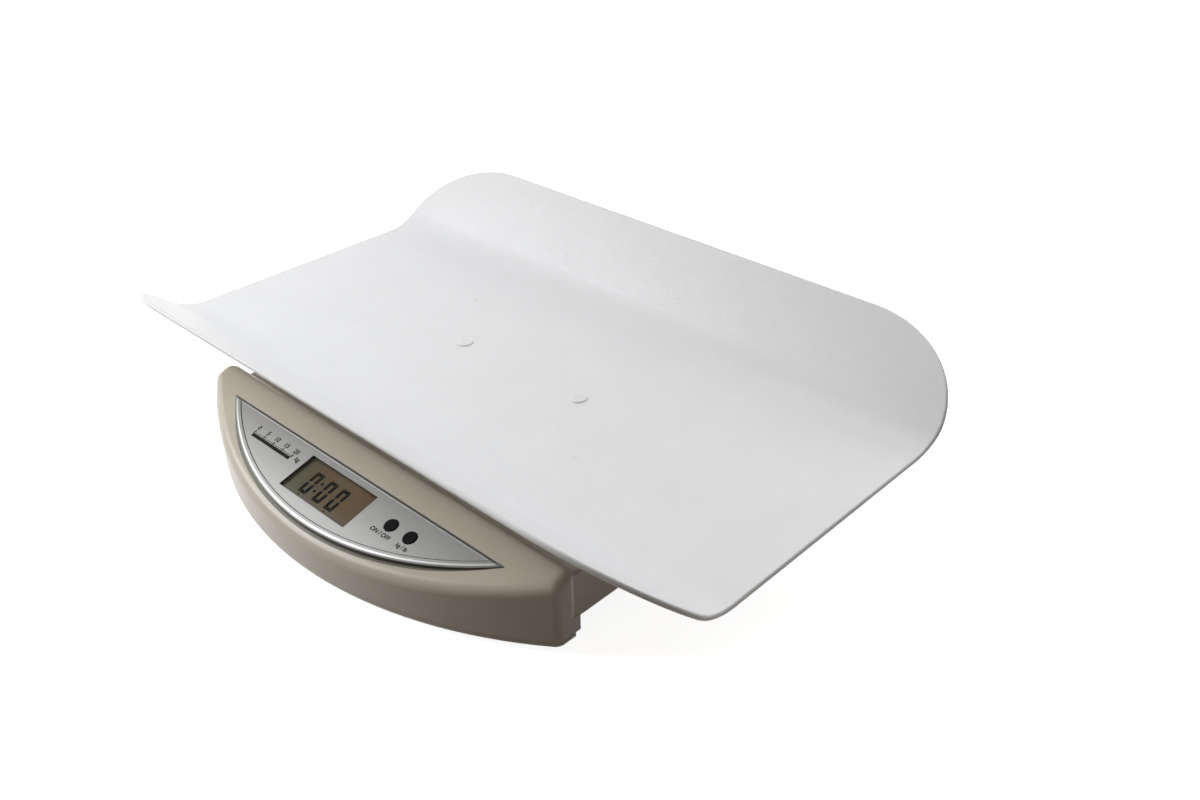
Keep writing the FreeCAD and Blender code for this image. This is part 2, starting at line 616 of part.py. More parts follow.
def battery_box():
    """Walls and roof of the battery compartment, on the deck floor."""
    shell = box(BATTERY_X0 - BOX_WALL, BATTERY_X1 + BOX_WALL, BATTERY_Y0 - BOX_WALL,
                BATTERY_Y1 + BOX_WALL, DECK_BOTTOM_Z + LAP, BATTERY_ROOF_Z + BOX_WALL)
    room = box(BATTERY_X0, BATTERY_X1, BATTERY_Y0, BATTERY_Y1, DECK_BOTTOM_Z, BATTERY_ROOF_Z)
    return shell.cut(room)


def lower_cover_holes():
    cuts = [box(BATTERY_X0, BATTERY_X1, BATTERY_Y0, BATTERY_Y1, DECK_BOTTOM_Z - LAP,
                BATTERY_ROOF_Z)]
    for x in TAB_XS:
        half = TAB_WIDTH / 2 + DOOR_CLEARANCE
        cuts.append(box(x - half, x + half, BATTERY_Y0 - BOX_WALL - LAP, BATTERY_Y0 + LAP,
                        FLOOR_TOP_Z, FLOOR_TOP_Z + TAB_SLOT_HEIGHT))
    for x, y, z in CASE_SCREWS:
        cuts.append(disc(x, y, z - LAP, z + WALL + SCREW_PAD + LAP,
                         CASE_SCREW_RADIUS + CASE_SCREW_CLEARANCE))
        cuts.append(disc(x, y, z - LAP, z + CASE_SCREW_SINK + CASE_SCREW_HEAD_HEIGHT,
                         CASE_SCREW_HEAD + HEAD_CLEARANCE))
    for x, y in foot_places().values():
        cuts.append(disc(x, y, 0, SKIRT_Z + FOOT_SEAT, FOOT_RADIUS + FOOT_CLEARANCE))
    for x, y in plate_screw_places():
        cuts.append(disc(x, y, DECK_BOTTOM_Z - LAP, FLOOR_TOP_Z + LAP,
                         PLATE_SCREW_RADIUS + THREAD_CLEARANCE))
    return group(cuts)


def battery_door():
    gap = DOOR_CLEARANCE
    door = box(BATTERY_X0 + gap, BATTERY_X1 - gap, BATTERY_Y0 + gap, BATTERY_Y1 - gap,
               DECK_BOTTOM_Z, DECK_BOTTOM_Z + DOOR_THICKNESS)
    parts = []
    for x in TAB_XS:
        low = FLOOR_TOP_Z + TAB_LIFT
        parts.append(box(x - TAB_WIDTH / 2, x + TAB_WIDTH / 2, BATTERY_Y0 - TAB_REACH,
                         BATTERY_Y0 + gap + TAB_ROOT, low, low + TAB_THICKNESS))
        parts.append(box(x - TAB_WIDTH / 2, x + TAB_WIDTH / 2, BATTERY_Y0 + gap,
                         BATTERY_Y0 + gap + TAB_ROOT, DECK_BOTTOM_Z, low + TAB_THICKNESS))
    middle = (BATTERY_X0 + BATTERY_X1) / 2
    y1 = BATTERY_Y1 - LATCH_SETBACK
    parts.append(box(middle - LATCH_WIDTH / 2, middle + LATCH_WIDTH / 2, y1 - LATCH_THICKNESS, y1,
                     DECK_BOTTOM_Z, DECK_BOTTOM_Z + LATCH_HEIGHT))
    door = fuse(door, *parts)
    grooves = []
    for i in range(GRIP_COUNT):
        y = BATTERY_Y1 - GRIP_MARGIN - i * GRIP_PITCH
        grooves.append(box(middle - GRIP_LENGTH / 2, middle + GRIP_LENGTH / 2, y - GRIP_WIDTH, y,
                           DECK_BOTTOM_Z - LAP, DECK_BOTTOM_Z + GRIP_DEPTH))
    return door.cut(group(grooves))


# ---------------------------------------------------------------- bezel, window and display
def bezel_blank():
    """Solid plate with its wide bevel, from the outer outline to the one inside the bevel."""
    low, high = bezel_outline(0, 0), bezel_outline(BEZEL_BEVEL, BEZEL_BACK_BEVEL)
    low.translate(V(0, 0, -BEZEL_BEVEL_DEPTH))
    bevel = Part.makeLoft([low, high], True, True)
    return bevel.fuse(prism(bezel_outline(0, 0), -BEZEL_THICKNESS, -BEZEL_BEVEL_DEPTH))


def bezel_skirt():
    """Wall under the plate's edge, down to the console's top, round the boss."""
    deep = SEAT_DEPTH + BOSS_HEIGHT
    ring = prism(bezel_outline(0, 0), -deep, -BEZEL_THICKNESS)
    ring = ring.cut(prism(bezel_outline(BEZEL_SKIRT, BEZEL_SKIRT), -deep - LAP, LAP))
    return on_panel(ring).cut(console_form(0))


def bezel_plate():
    field = prism(bezel_outline(BEZEL_RIM, BEZEL_BACK_RIM), -BEZEL_RECESS, LAP)
    plate = bezel_blank().cut(field).cut(window_cut()).cut(button_holes())
    return on_panel(plate).fuse(bezel_skirt())


def button_holes():
    radius = BUTTON_RADIUS + BUTTON_CLEARANCE
    return group([panel_disc(x, BUTTON_DROP, -LAP, SEAT_DEPTH + LAP, radius)
                  for x in BUTTON_XS.values()])


def window_cut():
    cut = lens_box(0, -LAP, SEAT_DEPTH + LAP)
    return cut.makeFillet(WINDOW_CORNER, [e for e in cut.Edges if is_upright(e)])


def bezel_adhesive():
    film = prism(bezel_outline(BOSS_INSET, BOSS_INSET), -SEAT_DEPTH, -BEZEL_THICKNESS)
    return on_panel(film.cut(window_cut()).cut(button_holes()))


LENS_BACK = SEAT_DEPTH + LENS_THICKNESS
LCD_FACE = LENS_BACK + GASKET_THICKNESS
LCD_BACK = LCD_FACE + LCD_THICKNESS
LCD_MARGIN = LENS_MARGIN - LCD_SETBACK


def display_window():
    return on_panel(lens_box(LENS_MARGIN, SEAT_DEPTH, LENS_BACK))


def display_gasket():
    ring = lens_box(LCD_MARGIN, LENS_BACK, LCD_FACE)
    return on_panel(ring.cut(lens_box(LCD_MARGIN - GASKET_WIDTH, LENS_BACK - LAP, LCD_FACE + LAP)))


def lcd_panel():
    return on_panel(lens_box(LCD_MARGIN, LCD_FACE, LCD_BACK))


def connector_strips(margin):
    """Two strips, above and below the middle, between the glass and the board."""
    half_w = WINDOW_WIDTH / 2 - CONNECTOR_END_ROOM + margin
    strips = []
    for side in (-1, 1):
        middle = WINDOW_DROP + side * (WINDOW_HEIGHT / 2 + LCD_MARGIN - HOLDER_BAR)
        half = CONNECTOR_WIDTH / 2 + margin
        strips.append(panel_box(WINDOW_X - half_w, WINDOW_X + half_w, middle - half,
                                middle + half, LCD_BACK, BOARD_DEPTH))
    return strips


def lcd_connectors():
    return group([on_panel(strip) for strip in connector_strips(0)])


def lcd_holder():
    frame = lens_box(LCD_MARGIN, LCD_BACK, BOARD_DEPTH)
    frame = frame.cut(lens_box(-HOLDER_BAR, LCD_BACK - LAP, BOARD_DEPTH + LAP))
    return on_panel(frame.cut(group(connector_strips(CONNECTOR_CLEARANCE))))


def main_circuit_board():
    board = panel_box(BOARD_LEFT, BOARD_RIGHT, BOARD_TOP_DROP, BOARD_BOTTOM_DROP,
                      BOARD_DEPTH, BOARD_DEPTH + BOARD_THICKNESS)
    holes = [panel_disc(x, drop, BOARD_DEPTH - LAP, BOARD_DEPTH + BOARD_THICKNESS + LAP,
                        BOARD_SCREW_RADIUS + THREAD_CLEARANCE) for x, drop in BOARD_POSTS]
    return on_panel(board.cut(group(holes)))


def board_screws():
    screws = []
    under = BOARD_DEPTH + BOARD_THICKNESS
    for x, drop in BOARD_POSTS:
        shank = panel_disc(x, drop, BOARD_DEPTH - BOARD_SCREW_BITE, under, BOARD_SCREW_RADIUS)
        head = panel_disc(x, drop, under, under + BOARD_SCREW_HEAD_HEIGHT, BOARD_SCREW_HEAD)
        screws.append(on_panel(fuse(shank, head)))
    return group(screws)


def on_board(x, drop, width, depth, height):
    """Block on the board's underside, centred at x and drop."""
    under = BOARD_DEPTH + BOARD_THICKNESS
    return on_panel(panel_box(x - width / 2, x + width / 2, drop - depth / 2, drop + depth / 2,
                              under, under + height))


def circuit_components():
    under = BOARD_DEPTH + BOARD_THICKNESS
    parts = [on_board(MAIN_CHIP_X, MAIN_CHIP_DROP, MAIN_CHIP_SIZE, MAIN_CHIP_SIZE,
                      MAIN_CHIP_HEIGHT),
             on_board(MEMORY_CHIP_X, MEMORY_CHIP_DROP, MEMORY_CHIP_WIDTH, MEMORY_CHIP_DEPTH,
                      MEMORY_CHIP_HEIGHT),
             on_board(CRYSTAL_X, CRYSTAL_DROP, CRYSTAL_WIDTH, CRYSTAL_DEPTH, CRYSTAL_HEIGHT)]
    parts += [on_board(x, PLUG_DROP, PLUG_WIDTH, PLUG_DEPTH, PLUG_HEIGHT)
              for x in PLUG_XS.values()]
    parts += [on_panel(panel_disc(CAPACITOR_X + i * CAPACITOR_PITCH, CAPACITOR_DROP, under,
                                  under + CAPACITOR_HEIGHT, CAPACITOR_RADIUS)) for i in range(2)]
    return group(parts)


# ---------------------------------------------------------------- buttons
FLANGE_TOP = BUTTON_GUIDE_DEPTH + BUTTON_CLEARANCE
FLANGE_BACK = FLANGE_TOP + BUTTON_FLANGE_THICKNESS
SWITCH_FACE = BOARD_DEPTH - SWITCH_HEIGHT


def button_cap(x):
    cap = panel_disc(x, BUTTON_DROP, -BUTTON_PROUD, FLANGE_BACK, BUTTON_RADIUS)
    rim = [e for e in cap.Edges if e.BoundBox.ZMin > BUTTON_PROUD - TINY]
    cap = cap.makeFillet(BUTTON_EDGE_ROUND, rim)
    flange = panel_disc(x, BUTTON_DROP, FLANGE_TOP, FLANGE_BACK,
                        BUTTON_RADIUS + BUTTON_FLANGE - BUTTON_CLEARANCE)
    return on_panel(fuse(cap, flange))


def switch_stem(x):
    return on_panel(panel_disc(x, BUTTON_DROP, FLANGE_BACK, SWITCH_FACE + STEM_ENGAGEMENT,
                               STEM_RADIUS))


def tact_switches():
    half = SWITCH_SIZE / 2
    bodies = []
    for x in BUTTON_XS.values():
        body = panel_box(x - half, x + half, BUTTON_DROP - half, BUTTON_DROP + half,
                         SWITCH_FACE, BOARD_DEPTH)
        well = panel_disc(x, BUTTON_DROP, SWITCH_FACE - LAP,
                          SWITCH_FACE + STEM_ENGAGEMENT + BUTTON_TRAVEL + STEM_CLEARANCE,
                          STEM_RADIUS + STEM_CLEARANCE)
        bodies.append(on_panel(body.cut(well)))
    return group(bodies)


# ---------------------------------------------------------------- load path
def stiffening_plate():
    plate = box(-PLATE_HALF, PLATE_HALF, TRAY_MID_Y - PLATE_DEPTH / 2,
                TRAY_MID_Y + PLATE_DEPTH / 2, FLOOR_TOP_Z, PLATE_TOP_Z)
    plate = plate.makeFillet(PLATE_CORNER, [e for e in plate.Edges if is_upright(e)])
    low, high = FLOOR_TOP_Z - LAP, PLATE_TOP_Z + LAP
    cuts = [disc(x, y, low, high, STOP_RADIUS + THREAD_CLEARANCE) for x, y in STOPS]
    cuts += [disc(x, y, low, high, PLATE_SCREW_RADIUS + THREAD_CLEARANCE)
             for x, y in plate_screw_places()]
    cuts += [countersunk_bolt(x, THREAD_CLEARANCE) for x in FIXED_BOLTS]
    return plate.cut(group(cuts))


def plate_screw_places():
    return [(sx * STOP_X, TRAY_MID_Y + sy * PLATE_SCREW_Y) for sx in (-1, 1) for sy in (-1, 1)]


def countersunk_bolt(x, extra=0.0):
    """Bolt up through the plate and the lower spacer into the bar's fixed end."""
    head = Part.makeCone(BOLT_HEAD_RADIUS + extra, CELL_BOLT_RADIUS + extra, BOLT_HEAD_HEIGHT,
                         V(x, TRAY_MID_Y, FLOOR_TOP_Z))
    top = CELL_BOTTOM_Z + CELL_SECTION / 2
    shank = disc(x, TRAY_MID_Y, FLOOR_TOP_Z, top, CELL_BOLT_RADIUS + extra)
    return fuse(head, shank)


def free_end_bolt(x):
    """Bolt down through the frame and the upper spacer into the bar's free end."""
    top = FRAME_BOTTOM_Z + FRAME_PLATE
    head = disc(x, TRAY_MID_Y, top, top + BOLT_HEAD_HEIGHT, BOLT_HEAD_RADIUS)
    shank = disc(x, TRAY_MID_Y, CELL_TOP_Z - CELL_SECTION / 2, top, CELL_BOLT_RADIUS)
    return fuse(head, shank)


def spacer(bolts, z0, z1):
    x0, x1 = spacer_span(bolts)
    block = box(x0, x1, TRAY_MID_Y - SPACER_DEPTH / 2, TRAY_MID_Y + SPACER_DEPTH / 2, z0, z1)
    radius = CELL_BOLT_RADIUS + THREAD_CLEARANCE
    return block.cut(group([disc(x, TRAY_MID_Y, z0 - LAP, z1 + LAP, radius) for x in bolts]))


def load_cell():
    """Aluminium bar, thinned by a double bore in its middle to make it bend there."""
    half = CELL_SECTION / 2
    bar = box(CELL_LEFT, -CELL_LEFT, TRAY_MID_Y - half, TRAY_MID_Y + half,
              CELL_BOTTOM_Z, CELL_TOP_Z)
    middle_z = CELL_BOTTOM_Z + half
    x = CELL_FLEXURE_PITCH / 2
    bores = [Part.makeCylinder(CELL_FLEXURE_RADIUS, CELL_SECTION + 2 * LAP,
                               V(side * x, TRAY_MID_Y - half - LAP, middle_z), V(0, 1, 0))
             for side in (-1, 1)]
    slot = box(-x, x, TRAY_MID_Y - half - LAP, TRAY_MID_Y + half + LAP,
               middle_z - CELL_SLOT_HEIGHT / 2, middle_z + CELL_SLOT_HEIGHT / 2)
    radius = CELL_BOLT_RADIUS + THREAD_CLEARANCE
    holes = [disc(x, TRAY_MID_Y, CELL_BOTTOM_Z - LAP, middle_z + SCREW_TIP_ROOM, radius)
             for x in FIXED_BOLTS]
    holes += [disc(x, TRAY_MID_Y, middle_z - SCREW_TIP_ROOM, CELL_TOP_Z + LAP, radius)
              for x in FREE_BOLTS]
    return bar.cut(fuse(*bores, slot)).cut(group(holes))


def strain_gauge_covers():
    """Potting over the gauges, on the bar's two long side faces."""
    half = CELL_SECTION / 2
    length = CELL_FLEXURE_PITCH + 2 * CELL_FLEXURE_RADIUS
    covers = []
    for side in (-1, 1):
        y = TRAY_MID_Y + side * half
        y0, y1 = sorted((y, y + side * GAUGE_COVER))
        covers.append(box(-length / 2, length / 2, y0, y1, CELL_BOTTOM_Z + GAUGE_COVER_MARGIN,
                          CELL_TOP_Z - GAUGE_COVER_MARGIN))
    return group(covers)


def stop_screw(x, y):
    return disc(x, y, FLOOR_TOP_Z, FRAME_BOTTOM_Z - TRAY_TRAVEL, STOP_RADIUS)


def stop_nut(x, y):
    """Hexagonal nut: its corners lie on a circle of the width across flats over root three."""
    corner = STOP_NUT / math.sqrt(3)
    turns = [math.radians(60 * i) for i in range(7)]
    hexagon = Part.makePolygon([V(x + corner * math.cos(t), y + corner * math.sin(t), PLATE_TOP_Z)
                                for t in turns])
    nut = Part.Face(hexagon).extrude(V(0, 0, STOP_NUT_HEIGHT))
    return nut.cut(disc(x, y, PLATE_TOP_Z - LAP, PLATE_TOP_Z + STOP_NUT_HEIGHT + LAP,
                        STOP_RADIUS + THREAD_CLEARANCE))


def tray_support_frame():
    """Ribbed plate on the free end of the bar, under the tray."""
    hx, hy = FRAME_LENGTH / 2, FRAME_DEPTH / 2
    z0, z1, z2 = FRAME_BOTTOM_Z, FRAME_BOTTOM_Z + FRAME_PLATE, FRAME_TOP_Z
    plate = box(-hx, hx, TRAY_MID_Y - hy, TRAY_MID_Y + hy, z0, z2)
    plate = plate.makeFillet(FRAME_CORNER, [e for e in plate.Edges if is_upright(e)])
    rib_x = TRAY_SCREW_X + RIB_BESIDE_SCREW
    xs = [-hx, -rib_x, rib_x, hx]
    ys = [-hy, -SPACER_DEPTH, SPACER_DEPTH, hy]
    pockets = []
    for i in range(3):
        for j in range(3):
            pockets.append(box(xs[i] + RIB, xs[i + 1] - RIB, TRAY_MID_Y + ys[j] + RIB,
                               TRAY_MID_Y + ys[j + 1] - RIB, z1, z2 + LAP))
    frame = plate.cut(group(pockets))
    bosses = [disc(side * TRAY_SCREW_X, TRAY_MID_Y, z0, z2, INSERT_RADIUS + RIB)
              for side in (-1, 1)]
    bosses += [box(x - PAD_LENGTH / 2, x + PAD_LENGTH / 2, y - PAD_DEPTH / 2, y + PAD_DEPTH / 2,
                   z0, z2) for x, y in pad_places()]
    frame = fuse(frame, *bosses)
    radius = CELL_BOLT_RADIUS + THREAD_CLEARANCE
    cuts = [disc(x, TRAY_MID_Y, z0 - LAP, z2 + LAP, radius) for x in FREE_BOLTS]
    cuts += [disc(side * TRAY_SCREW_X, TRAY_MID_Y, z0 - LAP, z2 + LAP, INSERT_RADIUS)
             for side in (-1, 1)]
    cuts += [disc(sx * (TRAY_SCREW_X + hx) / 2, TRAY_MID_Y + sy * hy / 2, z0 - LAP, z1 + LAP,
                  FRAME_HOLE) for sx in (-1, 1) for sy in (-1, 1)]
    return frame.cut(group(cuts))


def pad_places():
    x = FRAME_LENGTH / 2 - RIB - PAD_LENGTH / 2
    y = FRAME_DEPTH / 2 - RIB - PAD_DEPTH / 2
    return [(sx * x, TRAY_MID_Y + sy * y) for sx in (-1, 1) for sy in (-1, 1)]


def cushion_pads():
    half_x, half_y = PAD_LENGTH / 2 - PAD_MARGIN, PAD_DEPTH / 2 - PAD_MARGIN
    return group([box(x - half_x, x + half_x, y - half_y, y + half_y, FRAME_TOP_Z, TRAY_UNDER_Z)
                  for x, y in pad_places()])


def thread_inserts():
    bore = TRAY_SCREW_RADIUS + THREAD_CLEARANCE
    return group([disc(s * TRAY_SCREW_X, TRAY_MID_Y, FRAME_BOTTOM_Z, FRAME_TOP_Z, INSERT_RADIUS)
                  .cut(disc(s * TRAY_SCREW_X, TRAY_MID_Y, 0, FAR, bore)) for s in (-1, 1)])


# ---------------------------------------------------------------- tray
def trough_section(thickness):
    """Closed section of the bent sheet in the YZ plane, upper face first."""
    def points(offset):
        # offset is measured outwards from the upper face, so the bends grow by it
        radius = BEND_RADIUS + offset
        floor_z = TRAY_FLOOR_Z - offset
        y0 = TRAY_MID_Y - TRAY_FLOOR_DEPTH / 2
        bend_y, bend_z = y0 - radius * LIP_SIN, floor_z + radius * (1 - LIP_COS)
        mid_y = y0 - radius * math.sin(LIP_RAD / 2)
        mid_z = floor_z + radius * (1 - math.cos(LIP_RAD / 2))
        tip_y, tip_z = bend_y - LIP_RUN * LIP_COS, bend_z + LIP_RUN * LIP_SIN
        return [(tip_y, tip_z), (bend_y, bend_z), (mid_y, mid_z), (y0, floor_z)]

    x = -TRAY_LENGTH / 2

    def chain(offset):
        half = [V(x, y, z) for y, z in points(offset)]
        other = [V(p.x, 2 * TRAY_MID_Y - p.y, p.z) for p in half]
        edges = [Part.LineSegment(half[0], half[1]), Part.Arc(half[1], half[2], half[3]),
                 Part.LineSegment(half[3], other[3]), Part.Arc(other[3], other[2], other[1]),
                 Part.LineSegment(other[1], other[0])]
        return half[0], other[0], [e.toShape() for e in edges]

    a0, a1, upper = chain(0.0)
    b0, b1, lower = chain(thickness)
    ends = [Part.LineSegment(a1, b1).toShape(), Part.LineSegment(b0, a0).toShape()]
    return Part.Wire(Part.__sortEdges__(upper + lower + ends))


def corner_cutter():
    """Prism outside a quarter ellipse, square to the front lip at its right-hand end."""
    a, b = CORNER_ALONG_X, CORNER_ALONG_LIP
    ellipse = Part.Ellipse(V(0, 0, 0), a, b)
    ellipse.Center = V(TRAY_LENGTH / 2 - a, b, 0)
    arc = Part.Edge(ellipse, 1.5 * math.pi, 2 * math.pi)
    start, end = arc.Vertexes[0].Point, arc.Vertexes[-1].Point
    out = REACH / 2
    path = [end, V(end.x + out, end.y, 0), V(end.x + out, -out, 0), V(start.x, -out, 0), start]
    face = Part.Face(Part.Wire([arc] + Part.makePolygon(path).Edges))
    face.translate(V(0, 0, -out))
    cutter = face.extrude(V(0, 0, 2 * out))
    tilt = FreeCAD.Rotation(V(1, 0, 0), -LIP_ANGLE)
    cutter.Placement = FreeCAD.Placement(V(0, TRAY_FRONT_Y, TRAY_FLOOR_Z + LIP_RISE), tilt)
    return cutter


def tray():
    body = Part.Face(trough_section(TRAY_WALL)).extrude(V(TRAY_LENGTH, 0, 0))
    cutter = corner_cutter()
    middle = V(0, TRAY_MID_Y, 0)
    for along in (False, True):
        for across in (False, True):
            tool = cutter
            tool = tool.mirror(middle, V(1, 0, 0)) if along else tool
            tool = tool.mirror(middle, V(0, 1, 0)) if across else tool
            body = body.cut(tool)
    body = round_rim(body)
    xs = (-TRAY_SCREW_X, TRAY_SCREW_X)
    bosses = [disc(x, TRAY_MID_Y, FRAME_TOP_Z, TRAY_UNDER_Z + LAP, TRAY_BOSS_RADIUS) for x in xs]
    body = fuse(body, *bosses)
    # screw hole, then the well of the screw head, then the recess of the cap
    steps = ((FRAME_TOP_Z - LAP, TRAY_SCREW_RADIUS + CASE_SCREW_CLEARANCE),
             (FRAME_TOP_Z + TRAY_SCREW_SEAT, CAP_RADIUS - CAP_LEDGE),
             (TRAY_FLOOR_Z - CAP_SEAT_DEPTH, CAP_RADIUS + CAP_CLEARANCE))
    return body.cut(group([disc(x, TRAY_MID_Y, low, TRAY_FLOOR_Z + LAP, radius)
                           for x in xs for low, radius in steps]))


def round_rim(body):
    """Round every edge between the two big faces and the cut rim."""
    rim = []
    for edge in body.Edges:
        faces = body.ancestorsOfType(edge, Part.Face)
        sides = [is_rim_face(face) for face in faces]
        if len(sides) == 2 and sides[0] != sides[1]:
            rim.append(edge)
    return body.makeFillet(RIM_ROUND, rim)


def is_rim_face(face):
    """A rim face is no wider than the sheet: its area is about its length times the wall."""
    return face.Area < RIM_FACE_SHARE * TRAY_WALL * face.Length


def tray_screws():
    seat = FRAME_TOP_Z + TRAY_SCREW_SEAT
    screws = []
    for x in (-TRAY_SCREW_X, TRAY_SCREW_X):
        head = disc(x, TRAY_MID_Y, seat, seat + TRAY_SCREW_HEAD_HEIGHT, TRAY_SCREW_HEAD)
        shank = disc(x, TRAY_MID_Y, FRAME_BOTTOM_Z + SCREW_TIP_ROOM, seat, TRAY_SCREW_RADIUS)
        screws.append(fuse(head, shank))
    return group(screws)


def screw_caps():
    """Flat round caps: a rim in its recess, a domed edge, and a plug in the screw's well."""
    seat_z, top_z = TRAY_FLOOR_Z - CAP_SEAT_DEPTH, TRAY_FLOOR_Z + CAP_HEIGHT
    caps = []
    for x in (-TRAY_SCREW_X, TRAY_SCREW_X):
        rim = disc(x, TRAY_MID_Y, seat_z, top_z, CAP_RADIUS)
        rim = rim.makeFillet(CAP_EDGE_ROUND, [e for e in rim.Edges
                                              if e.BoundBox.ZMin > top_z - TINY])
        plug = disc(x, TRAY_MID_Y, seat_z - CAP_PLUG_DEPTH, seat_z,
                    CAP_RADIUS - CAP_LEDGE - CAP_CLEARANCE)
        caps.append(fuse(rim, plug))
    return group(caps)


# ---------------------------------------------------------------- feet, screws, power
def rubber_foot(x, y):
    foot = disc(x, y, SKIRT_Z - FOOT_PROUD, SKIRT_Z + FOOT_SEAT, FOOT_RADIUS)
    low = [e for e in foot.Edges if e.BoundBox.ZMax < SKIRT_Z - FOOT_PROUD + TINY]
    return foot.makeFillet(FOOT_EDGE_ROUND, low)


def case_screws():
    screws = []
    for x, y, z in CASE_SCREWS:
        seat = z + CASE_SCREW_SINK + CASE_SCREW_HEAD_HEIGHT
        head = disc(x, y, z + CASE_SCREW_SINK, seat, CASE_SCREW_HEAD)
        shank = disc(x, y, seat, z + CASE_SCREW_LENGTH, CASE_SCREW_RADIUS)
        screws.append(fuse(head, shank))
    return group(screws)


def plate_screws():
    screws = []
    low_z = DECK_BOTTOM_Z - PLATE_SCREW_HEAD_HEIGHT
    for x, y in plate_screw_places():
        head = disc(x, y, low_z, DECK_BOTTOM_Z, PLATE_SCREW_HEAD)
        head = head.makeFillet(PLATE_SCREW_ROUND, [e for e in head.Edges
                                                   if e.BoundBox.ZMax < low_z + TINY])
        screws.append(fuse(head, disc(x, y, DECK_BOTTOM_Z, PLATE_TOP_Z, PLATE_SCREW_RADIUS)))
    return group(screws)


def battery(index):
    """One cell, its raised end towards the contact plate."""
    x = BATTERY_XS[index]
    front = index % 2 == 0
    y0 = BATTERY_Y0 + CONTACT_PLATE if front else BATTERY_Y1 - CONTACT_PLATE
    along = V(0, 1, 0) if front else V(0, -1, 0)
    start = V(x, y0, BATTERY_Z)
    nub = Part.makeCylinder(NUB_RADIUS, NUB, start, along)
    can = Part.makeCylinder(CELL_RADIUS, BATTERY_LENGTH - NUB, start + along * NUB, along)
    can = can.makeFillet(BATTERY_EDGE_ROUND, can.Edges[:1] + can.Edges[-1:])
    return fuse(can, nub)


def contact_plates():
    plates = []
    for i, x in enumerate(BATTERY_XS):
        y0 = BATTERY_Y0 if i % 2 == 0 else BATTERY_Y1 - CONTACT_PLATE
        plates.append(box(x - CONTACT_HALF, x + CONTACT_HALF, y0, y0 + CONTACT_PLATE,
                          BATTERY_Z - CONTACT_LOW, BATTERY_Z + CONTACT_HALF))
    return group(plates)


def contact_springs():
    """Coil springs, each one drawn as the hollow cone that its pressed coil fills."""
    springs = []
    for i, x in enumerate(BATTERY_XS):
        front = i % 2 == 0
        y0 = BATTERY_Y1 if front else BATTERY_Y0
        along = V(0, -1, 0) if front else V(0, 1, 0)
        length = BATTERY_END_ROOM - CONTACT_PLATE
        foot = V(x, y0, BATTERY_Z)
        cone = Part.makeCone(SPRING_BASE, SPRING_TIP, length, foot, along)
        hollow = Part.makeCone(SPRING_BASE - SPRING_WALL, SPRING_TIP - SPRING_WALL, length, foot,
                               along)
        springs.append(cone.cut(hollow))
    return group(springs)


def jack_face_y():
    lean = DECK_DRAFT * (JACK_Z + JACK_HEIGHT / 2 - DECK_BOTTOM_Z) / (DECK_Z - DECK_BOTTOM_Z)
    return HOUSING_REAR_Y - lean - WALL - JACK_CLEARANCE


def power_inlet():
    face = jack_face_y()
    body = box(JACK_X - JACK_WIDTH / 2, JACK_X + JACK_WIDTH / 2, face - JACK_LENGTH, face,
               JACK_Z - JACK_HEIGHT / 2, JACK_Z + JACK_HEIGHT / 2)
    mouth = face + WALL
    nose = Part.makeCylinder(JACK_NOSE_RADIUS, WALL, V(JACK_X, face, JACK_Z), V(0, 1, 0))
    bore = Part.makeCylinder(JACK_BORE_RADIUS, JACK_BORE_DEPTH,
                             V(JACK_X, mouth - JACK_BORE_DEPTH, JACK_Z), V(0, 1, 0))
    pin = Part.makeCylinder(JACK_PIN_RADIUS, JACK_BORE_DEPTH + LAP - JACK_PIN_SETBACK,
                            V(JACK_X, mouth - JACK_BORE_DEPTH - LAP, JACK_Z), V(0, 1, 0))
    return fuse(fuse(body, nose).cut(bore), pin)


def lead(points):
    """Round lead: straight runs joined by the largest arcs that they allow."""
    points = [V(*p) for p in points]
    edges = []
    last = points[0]
    for before, corner, after in zip(points, points[1:], points[2:]):
        run_in, run_out = corner - before, after - corner
        turn = run_in.getAngle(run_out)
        reach = BEND_SHARE * min(run_in.Length, run_out.Length)
        a = corner - run_in.normalize() * reach
        b = corner + run_out.normalize() * reach
        bisector = (run_out - run_in).normalize()
        radius = reach / math.tan(turn / 2)
        middle = corner + bisector * (radius / math.cos(turn / 2) - radius)
        edges += [Part.LineSegment(last, a).toShape(), Part.Arc(a, middle, b).toShape()]
        last = b
    edges.append(Part.LineSegment(last, points[-1]).toShape())
    path = Part.Wire(edges)
    start = Part.Wire([Part.makeCircle(LEAD_RADIUS, points[0], points[1] - points[0])])
    return path.makePipeShell([start], True, False)


def connector_run(name, low):
    """Last points of a lead: up from the floor, then square into its plug."""
    depth = BOARD_DEPTH + BOARD_THICKNESS + PLUG_HEIGHT / 2
    face = PLUG_DROP - PLUG_DEPTH / 2
    end = panel_point(PLUG_XS[name], face, depth)
    square = panel_point(PLUG_XS[name], face - LEAD_RUN_OUT, depth)
    return [(end.x, end.y + 4 * LEAD_RUN_OUT, low), square, end]


def load_cell_lead():
    z = CELL_BOTTOM_Z + CELL_SECTION / 2
    x = -CELL_FLEXURE_PITCH / 2
    y = TRAY_MID_Y - CELL_SECTION / 2 - GAUGE_COVER
    low = PLATE_TOP_Z + 2 * LEAD_RADIUS
    return lead([(x, y, z), (x, y - LEAD_RUN_OUT, z), (x, y - 4 * LEAD_RUN_OUT, low)]
                + connector_run("load_cell", low))


